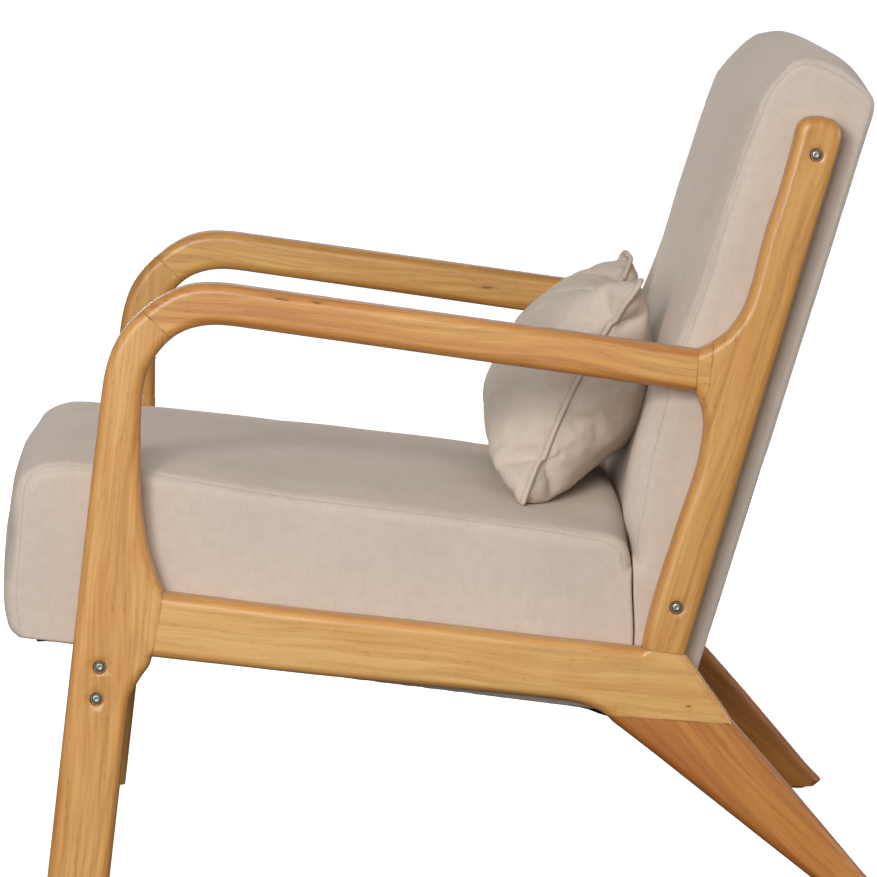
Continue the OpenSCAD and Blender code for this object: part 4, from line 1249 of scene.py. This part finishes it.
def seat_pins(p):
    y, z, x = p[:, 1] * 1000, p[:, 2] * 1000, np.abs(p[:, 0]) * 1000
    low = 1 - smoothstep(z - (242 + (y + 392) * -0.1228), 8, 60)
    rear = smoothstep(y, 120, 165)
    side = 0.55 * smoothstep(x, 284, 290)
    return np.clip(np.maximum(np.maximum(low, rear), side), 0.0, 1.0)


def back_pins(p):
    y, z, x = p[:, 1] * 1000, p[:, 2] * 1000, np.abs(p[:, 0]) * 1000
    low = 1 - smoothstep(z, 330, 400)
    line = 226.2 + (z - 166.3) * 0.2962
    rear = smoothstep(y - line, -22, -4)
    side = 0.55 * smoothstep(x, 284, 290)
    return np.clip(np.maximum(np.maximum(low, rear), side), 0.0, 1.0)


seat, seat_data = upholster(
    "seat_upholstery", SEAT, seat_edge, 3.0, ((-392, 242), -7.0),
    lambda f, q: 1.6 * (1 - f * f), seat_pins, seat_shape,
    lambda p: 1 - smoothstep(p[:, 1], 0.169, 0.1745), 0.0032, 0.9, 2.0,
    ("seat_cover", "seat_foam"))
back, back_data = upholster(
    "back_upholstery", BACK, back_edge, 2.4, ((226.2, 166.3), 73.5),
    lambda f, q: 1.6 * (1 - f * f) * (1.0 if q[0] < 330 or q[1] > 730 else 0.2),
    back_pins, back_shape, lambda p: smoothstep(p[:, 2], 0.322, 0.336), 0.0032, 0.9, 5.0,
    ("back_cover", "back_foam"))


# -------------------------------------------------------------------- pillow
def pillow_mesh(name, w, h, nx, nz):
    """Two panels sewn together at their rims: flat rectangles, a hair apart."""
    rim = [(i, 0) for i in range(nx)] + [(nx, j) for j in range(nz)] \
        + [(i, nz) for i in range(nx, 0, -1)] + [(0, j) for j in range(nz, 0, -1)]
    inner = [(i, j) for j in range(1, nz) for i in range(1, nx)]
    where = {}
    verts, maps = [], []
    for k, (i, j) in enumerate(rim):
        where[(i, j, 0)] = where[(i, j, 1)] = k
        verts.append((w * (i / nx - 0.5), 0.0, h * (j / nz - 0.5)))
    for s in (0, 1):
        for i, j in inner:
            a, b = 2 * i / nx - 1, 2 * j / nz - 1
            where[(i, j, s)] = len(verts)
            lift = 0.010 * (1 - a * a) * (1 - b * b)
            verts.append((w * (i / nx - 0.5), lift if s == 0 else -lift, h * (j / nz - 0.5)))
    faces, uvs = [], []
    for s in (0, 1):
        for j in range(nz):
            for i in range(nx):
                q = [(i, j), (i + 1, j), (i + 1, j + 1), (i, j + 1)]
                if s == 0:
                    q = q[::-1]
                faces.append(tuple(where[(a, b, s)] for a, b in q))
                uvs.append([(w * a / nx + 0.6 * s, h * b / nz) for a, b in q])
    obj = new_object(name, verts, faces)
    uv = obj.data.uv_layers.new(name="weave")
    uv.data.foreach_set("uv", np.array([c for f in uvs for c in f], np.float32).ravel())
    return obj, len(rim)


PILLOW_W, PILLOW_H, PILLOW_FRONT, PILLOW_REAR = 0.396, 0.2405, 0.072, 0.065
PILLOW_AT, PILLOW_LEAN = Vector((0, 0.1400, 0.4615)), math.radians(-27.8)
pillow, rim_count = pillow_mesh("pillow", 0.440, 0.292, 72, 48)
p = points_of(pillow)
rim_tight = np.zeros(len(p))
rim_tight[:rim_count] = 1.0
p = run_cloth(pillow, None, rim_tight, 60, 9.0, quality=6, tension=25.0, bending=0.15,
              mass=0.2, shrink=0.05, damping=8.0)
p -= (p.max(0) + p.min(0)) / 2
span = p.max(0) - p.min(0)
p[:, 1] -= p[:rim_count, 1].mean()
p[:, 0] *= PILLOW_W / span[0]
p[:, 2] *= PILLOW_H / span[2]
p[:, 1] = np.where(p[:, 1] < 0, p[:, 1] * PILLOW_FRONT / -p[:, 1].min(), p[:, 1] * PILLOW_REAR / p[:, 1].max())
# the fill has sunk: fuller to the bottom, and the bottom hangs between its corners
up = 2 * p[:, 2] / PILLOW_H
p[:, 1] *= np.where(
    p[:, 1] < 0,
    np.interp(up, [-1.0, -0.93, -0.89, -0.81, -0.73, -0.62, -0.5, -0.32, 0.13, 0.28, 0.45, 0.63, 0.8],
              [1.30, 1.39, 1.43, 1.46, 1.44, 1.35, 1.24, 1.15, 1.08, 1.07, 1.11, 1.09, 1.08]),
    np.interp(up, [-1.0, -0.79, -0.57, -0.4, -0.26, -0.12, 0.06, 0.3, 0.54, 0.7],
              [1.45, 1.27, 1.12, 1.13, 1.20, 1.25, 1.28, 1.20, 1.10, 1.02]))
# its ends bow forward and its corners are drawn out to points
across = 2 * p[:, 0] / PILLOW_W
p[:, 1] -= 0.001 * np.abs(across) ** 3 * np.interp(
    up, [-1.0, -0.63, -0.35, 0.0, 0.2, 0.48, 0.73, 1.0], [-2.0, 0.8, 6.4, 10.7, 10.5, 6.8, 4.0, 0.0])
point = np.abs(across * up) ** 7
p[:, 0] += np.sign(across) * 0.003 * point
p[:, 2] += np.where(up < 0, -0.0065, np.where(across > 0, 0.001, -0.002)) * point
p[:, 2] -= 0.007 * np.clip(1 - (2 * p[:, 0] / PILLOW_W) ** 2, 0, 1) ** 0.6 * (1 - smoothstep(up, -1.0, 0.1))
set_points(pillow, p)
subdivide(pillow)
p = points_of(pillow)
rim_flat = p[:rim_count].copy()

# seam lines: how far each point lies from the rim, measured in the pillow
rim_next = np.roll(rim_flat, -1, 0)


def line_dist(q, a, b):
    best = np.full(len(q), 1e9)
    for s in range(0, len(q), 3000):
        c = q[s:s + 3000, None, :]
        d = (b - a)[None]
        t = np.clip(((c - a[None]) * d).sum(2) / np.maximum((d * d).sum(2), 1e-14), 0, 1)
        best[s:s + 3000] = np.sqrt(((a[None] + t[..., None] * d - c) ** 2).sum(2)).min(1)
    return best


gap = line_dist(p, rim_flat, rim_next)
n = normals_of(pillow)
gather = np.exp(-((gap - 0.010) / 0.010) ** 2) * wobble(p, 330.0, 9.0) * 0.0009
gather += np.exp(-((gap - 0.028) / 0.020) ** 2) * wobble(p, 130.0, 4.0) * 0.0012
gather -= 0.0012 * np.exp(-(gap / 0.0022) ** 2)
p = p + n * gather[:, None]
set_points(pillow, p)
# painted shade along the pillow's rim seam, under the piping
put_attribute(pillow.data, "crease_shade", np.exp(-(gap / 0.0026) ** 2))

# its place: leaning on the back, turned a little about the upright
turn = Matrix.Rotation(math.radians(-2.5), 3, "Z") @ Matrix.Rotation(PILLOW_LEAN, 3, "X") \
    @ Matrix.Rotation(math.radians(-0.75), 3, "Y")
turn = np.array(turn)


def placed(q):
    return q @ turn.T + np.array(PILLOW_AT)


def clear_of(q, trees, room):
    """Points q pushed out of the given surfaces, so that a cushion lies on them."""
    q = q.copy()
    for _ in range(2):
        for tree in trees:
            for i in range(len(q)):
                v = Vector(q[i])
                hit, normal, _, dist = tree.find_nearest(v, 0.05)
                if hit is None:
                    continue
                out = (v - hit).dot(normal)
                if out < room:
                    q[i] = np.array(v + normal * (room - out))
    return q


def tree_of(obj):
    return BVHTree.FromPolygons([tuple(v) for v in points_of(obj)],
                                [tuple(f.vertices) for f in obj.data.polygons])


supports = [tree_of(seat), tree_of(back)]
p = clear_of(placed(points_of(pillow)), supports, 0.0008)
set_points(pillow, p)
pillow.data.materials.append(pillow_look)
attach(pillow, "pillow")
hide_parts("pillow_cover", "pillow_insert")


def tube(name, path, normals, radius, sides, closed=True, lobe=0.0):
    """A tube round a path; lobe is not used."""
    path = np.asarray(path, float)
    m = len(path)
    verts, faces = [], []
    nxt = np.roll(path, -1, 0) - np.roll(path, 1, 0)
    for k in range(m):
        t = nxt[k] / np.linalg.norm(nxt[k])
        a = normals[k] - t * np.dot(normals[k], t)
        a /= np.linalg.norm(a)
        b = np.cross(t, a)
        for i in range(sides):
            g = 2 * math.pi * i / sides
            c, s = math.cos(g), math.sin(g)
            verts.append(tuple(path[k] + a * c * radius + b * s * radius))
    for k in range(m):
        j = (k + 1) % m
        for i in range(sides):
            l = (i + 1) % sides
            faces.append((k * sides + i, k * sides + l, j * sides + l, j * sides + i))
    return new_object(name, verts, faces)


def resample(path, count):
    d = np.linalg.norm(np.roll(path, -1, 0) - path, axis=1)
    at = np.concatenate([[0], np.cumsum(d)])
    full = np.concatenate([path, path[:1]])
    want = np.linspace(0, at[-1], count, endpoint=False)
    return np.stack([np.interp(want, at, full[:, i]) for i in range(3)], 1), at[-1]


def softened(path, times):
    for _ in range(times):
        path = 0.25 * np.roll(path, 1, 0) + 0.5 * path + 0.25 * np.roll(path, -1, 0)
    return path


rim_path, rim_length = resample(rim_flat, 520)
rim_path = softened(rim_path, 2)
centre_line = rim_path - rim_path.mean(0)
tangent = np.roll(rim_path, -1, 0) - np.roll(rim_path, 1, 0)
outward = np.cross(tangent, np.array([0, 1.0, 0]))
outward /= np.linalg.norm(outward, axis=1)[:, None]
if (outward * centre_line).sum() < 0:
    outward = -outward
outward = softened(outward, 3)
outward /= np.linalg.norm(outward, axis=1)[:, None]
piping_path = rim_path + outward * 0.0021
piping_path = clear_of(placed(piping_path), supports, 0.0028)
piping = tube("pillow_piping_cord", piping_path, outward @ turn.T, 0.0024, 12)
uvl = piping.data.uv_layers.new(name="weave")
uvs = []
for k in range(520):
    for i in range(12):
        a0, a1 = rim_length * k / 520, rim_length * (k + 1) / 520
        b0, b1 = 0.0151 * i / 12, 0.0151 * (i + 1) / 12
        uvs += [(a0 + b0, a0 - b0), (a0 + b1, a0 - b1), (a1 + b1, a1 - b1), (a1 + b0, a1 - b0)]
uvl.data.foreach_set("uv", np.array(uvs, np.float32).ravel())
put_attribute(piping.data, "crease_shade", np.zeros(len(piping.data.vertices)))
p, n = points_of(piping), normals_of(piping)
set_points(piping, p + n * (wobble(p, 620.0, 2.0) * 0.00016)[:, None])
piping.data.materials.append(pillow_look)
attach(piping, "pillow")
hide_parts("pillow_piping")

# ------------------------------------------------------------ bolts, glides
steel_look = metal("bolt_steel_look", srgb(168, 172, 168), 0.42)
# the washer takes a darker, duller copy of the head's steel: painted shade of the recess ring round the head
washer_shade_look = metal("washer_steel_shade", srgb(150, 151, 144), 0.5)
dull_steel = metal("dull_steel", srgb(150, 152, 155), 0.38)
glide_look = matt("glide_plastic_look", srgb(30, 29, 28), srgb(44, 42, 40), 1500.0, 0.45, 0.2, 0.0001)


def bolt_head(spin, shank):
    """A dome-headed socket bolt with its washer, seated at x = 0, in mm."""
    count = 36
    profile = [(-shank, 2.5), (-shank + 0.6, 3.0), (-0.05, 3.0), (-0.05, 5.25), (0.10, 5.4), (0.55, 5.4),
               (0.72, 5.25), (0.72, 4.35), (0.85, 4.45), (1.25, 4.55), (1.7, 4.45), (2.2, 4.1), (2.6, 3.6),
               (2.85, 3.05)]
    verts, faces = [], []
    for x, r in profile:
        for k in range(count):
            g = 2 * math.pi * k / count
            verts.append((x, r * math.cos(g), r * math.sin(g)))
    for a in range(len(profile) - 1):
        for k in range(count):
            j = (k + 1) % count
            faces.append((a * count + k, (a + 1) * count + k, (a + 1) * count + j, a * count + j))
    faces.append(tuple(range(count)))
    # the hexagonal socket: rings of as many points on a hexagon
    def hexagon(size, x):
        ring = []
        for k in range(count):
            g = 2 * math.pi * k / count
            h = (g + spin) % (math.pi / 3) - math.pi / 6
            ring.append((x, size / math.cos(h) * math.cos(g), size / math.cos(h) * math.sin(g)))
        return ring
    last = (len(profile) - 1) * count
    for size, x in ((2.2, 2.9), (1.95, 2.7), (1.95, 1.0)):
        first = len(verts)
        verts += hexagon(size, x)
        for k in range(count):
            j = (k + 1) % count
            faces.append((last + k, first + k, first + j, last + j))
        last = first
    first = len(verts)
    verts.append((0.7, 0.0, 0.0))
    for k in range(count):
        faces.append((last + k, first, last + (k + 1) % count))
    return verts, faces


def bolts(name, node, places):
    verts, faces = [], []
    cad = frame["nodes"][node]
    inner = min((cad.matrix_world @ v.co).x for v in cad.data.vertices if (cad.matrix_world @ v.co).x > 0)
    shank = HALF_W - SEAT_DEEP - 1000 * inner
    for side in (1, -1):
        for k, (y, z) in enumerate(places):
            v, f = bolt_head(0.35 + 0.8 * k + side, shank)
            first = len(verts)
            verts += [(side * (HALF_W - SEAT_DEEP + q[0]) / 1000, (y + q[1]) / 1000, (z + q[2]) / 1000) for q in v]
            faces += [tuple(first + i for i in (g if side > 0 else g[::-1])) for g in f]
    obj = new_object(name, verts, faces)
    bm = bmesh.new()
    bm.from_mesh(obj.data)
    bmesh.ops.recalc_face_normals(bm, faces=bm.faces)
    for e in bm.edges:
        if len(e.link_faces) == 2 and e.calc_face_angle(0) > math.radians(38):
            e.smooth = False
    bm.to_mesh(obj.data)
    bm.free()
    obj.data.materials.append(steel_look)
    obj.data.materials.append(washer_shade_look)
    # faces out past the head, the washer's, take the darker steel that paints the recess's shade ring
    for face in obj.data.polygons:
        radius = min(min(math.hypot(1000 * obj.data.vertices[i].co.y - y, 1000 * obj.data.vertices[i].co.z - z)
                         for y, z in places) for i in face.vertices)
        face.material_index = 1 if radius > 4.2 and len(face.vertices) == 4 else 0
    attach(obj, "chair")
    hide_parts(node)
    return obj


bolts("front_bolt_heads", "front_bolts", FRONT_BOLTS)
bolts("back_bolt_heads", "back_bolts", BACK_BOLTS)

# ----------------------------------------------------------- CAD nodes' looks
soft_a, soft_b = srgb(222, 196, 150), srgb(196, 160, 108)
looks = {
    "front_stretcher": wood("stretcher_wood_look", 90.0, (0, -0.3195, 0.205), 44.0,
                            srgb(206, 158, 104), srgb(190, 138, 86), srgb(150, 100, 58)),
    "foot_glides": glide_look,
    "front_bolts": steel_look, "back_bolts": steel_look, "barrel_nuts": dull_steel,
    "back_tnuts": dull_steel, "seat_screws": dull_steel, "plate_screws": steel_look,
    "joining_plates": metal("plate_steel", srgb(168, 170, 172), 0.34),
    "spring_clips": dull_steel,
    "seat_springs": metal("spring_steel_look", srgb(96, 98, 102), 0.35),
    "seat_deck": woven_black("deck_cloth", srgb(62, 62, 64), srgb(88, 88, 90), 0.0024),
    "back_webbing": matt("webbing_cloth", srgb(52, 52, 56), srgb(88, 86, 84), 700.0, 0.85, 0.5,
                         0.0005, (1, 0.1, 1)),
    "back_panel": matt("hardboard_look", srgb(140, 106, 72), srgb(116, 86, 58), 420.0, 0.7),
    "pillow_insert": matt("fill_cloth", srgb(238, 236, 230), srgb(220, 218, 212), 500.0, 0.9),
}
inner_x = plain_wood("inner_wood_across", "x", 3.0, soft_a, soft_b)
inner_y = plain_wood("inner_wood_along", "y", 7.0, soft_a, soft_b)
inner_z = plain_wood("inner_wood_up", "z", 11.0, soft_a, soft_b)
foam_look = matt("foam_look", srgb(236, 226, 192), srgb(216, 204, 166), 900.0, 0.92, 0.5, 0.0006)
dowel_look = plain_wood("dowel_look", "y", 15.0, srgb(226, 204, 164), srgb(206, 178, 134))
for name, node in frame["nodes"].items():
    if name in looks:
        look = looks[name]
    elif name.startswith("frame_dowels"):
        look = dowel_look
    elif name in ("seat_front_rail", "seat_rear_rail", "seat_bearer", "seat_corner_blocks",
                  "back_top_rail", "back_bottom_rail", "back_lumbar_rail"):
        look = inner_x
    elif name.startswith("seat_side_rail"):
        look = inner_y
    elif name.startswith("back_stile"):
        look = inner_z
    elif name.endswith("foam"):
        look = foam_look
    else:
        continue
    node.data.materials.clear()
    node.data.materials.append(look)


# ---------------------------------------------------------------- dust cover
def dust_sheet():
    """Black cloth stapled under the seat: it sags a little between its edges."""
    w, l = 0.556, 0.540
    nx, ny = 60, 60
    ca, sa = math.cos(math.radians(-7)), math.sin(math.radians(-7))
    verts, faces = [], []
    for j in range(ny + 1):
        for i in range(nx + 1):
            a, b = 2 * i / nx - 1, 2 * j / ny - 1
            x, y = a * w / 2, 0.014 + (b + 1) / 2 * l
            edge = min(1 - abs(a), 1 - abs(b))
            sag = 0.0026 * (1 - a * a) * (1 - b * b)
            tuck = 0.0006 * math.sin(x * 210) * math.exp(-((1 - abs(b)) / 0.05) ** 2)
            tuck += 0.0006 * math.sin(y * 210) * math.exp(-((1 - abs(a)) / 0.05) ** 2)
            hang = 0.0052 * max(0.0, (b - 0.88) / 0.12) ** 1.5 * (0.6 + 0.4 * abs(a))
            hang += 0.0016 * max(0.0, (-b - 0.92) / 0.08) ** 1.5
            z = -0.0012 - sag - abs(tuck) - hang
            verts.append((x, -0.392 + y * ca - z * sa, 0.242 + y * sa + z * ca))
    for j in range(ny):
        for i in range(nx):
            k = j * (nx + 1) + i
            faces.append((k, k + nx + 1, k + nx + 2, k + 1))
    obj = new_object("dust_cover_cloth", verts, faces)
    return obj


dust = dust_sheet()
mod = dust.modifiers.new("thick", "SOLIDIFY")
mod.thickness = 0.0004
dust.data.materials.append(woven_black("dust_cloth", srgb(22, 22, 23), srgb(46, 46, 47), 0.0016))
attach(dust, "chair")
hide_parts("dust_cover")

# ------------------------------------------------------------ floor and light
floor = bpy.data.objects.new("floor", bpy.data.meshes.new("floor"))
bm = bmesh.new()
bmesh.ops.create_circle(bm, cap_ends=True, segments=96, radius=60)
bm.to_mesh(floor.data)
bm.free()
scene.collection.objects.link(floor)
k = Look("pale_floor")
dust_noise = k.noise(k.scaled(k.place(), (3.0, 3.0, 3.0)), 2.0, 0.5)
k.put(k.bsdf.inputs["Base Color"], k.mix(dust_noise, (0.93, 0.93, 0.93, 1), (0.90, 0.90, 0.90, 1)))
k.set(Roughness=0.9, Specular_IOR_Level=0.1)
k.bsdf.inputs["Emission Color"].default_value = (1, 1, 1, 1)
k.bsdf.inputs["Emission Strength"].default_value = 0.80
floor.data.materials.append(k.mat)
floor.visible_diffuse = False
floor.visible_glossy = False

WORLD_LOW, WORLD_HIGH = 0.08, 0.39
world = bpy.data.worlds.new("studio")
scene.world = world
world.use_nodes = True
wt = world.node_tree
sky = wt.nodes["Background"]
where = wt.nodes.new("ShaderNodeTexCoord")
parts = wt.nodes.new("ShaderNodeSeparateXYZ")
wt.links.new(where.outputs["Generated"], parts.inputs[0])
shade = wt.nodes.new("ShaderNodeMapRange")
shade.interpolation_type = "SMOOTHSTEP"
wt.links.new(parts.outputs[2], shade.inputs["Value"])
for key, value in (("From Min", -0.32), ("From Max", 0.22), ("To Min", WORLD_LOW), ("To Max", WORLD_HIGH)):
    shade.inputs[key].default_value = value
wt.links.new(shade.outputs[0], sky.inputs[1])
sky.inputs[0].default_value = (0.925, 0.965, 1.0, 1)


def softbox(name, at, aim, size, power, colour=(1, 1, 1)):
    light = bpy.data.lights.new(name, "AREA")
    light.shape = "RECTANGLE"
    light.size, light.size_y = size
    light.energy = power
    light.color = colour
    obj = bpy.data.objects.new(name, light)
    scene.collection.objects.link(obj)
    obj.location = at
    obj.rotation_mode = "QUATERNION"
    obj.rotation_quaternion = (Vector(aim) - Vector(at)).to_track_quat("-Z", "Y")
    return obj


softbox("key", (4.15, -1.0, 1.45), (0, 0.05, 0.35), (2.0, 1.6), 108, (1.0, 0.962, 0.915))
softbox("high", (3.78, -1.37, 2.19), (0.1, 0, 0.4), (0.6, 0.6), 27, (1.0, 0.97, 0.93))
softbox("rear", (0.3, 3.4, 0.95), (0, 0.2, 0.45), (1.8, 1.2), 24)
softbox("far", (-3.0, -0.6, 2.0), (0, 0, 0.4), (2.0, 1.6), 10)
softbox("low", (-3.4, 0.2, 0.36), (0, 0.05, 0.42), (1.8, 0.5), 30, (1.0, 0.975, 0.94))
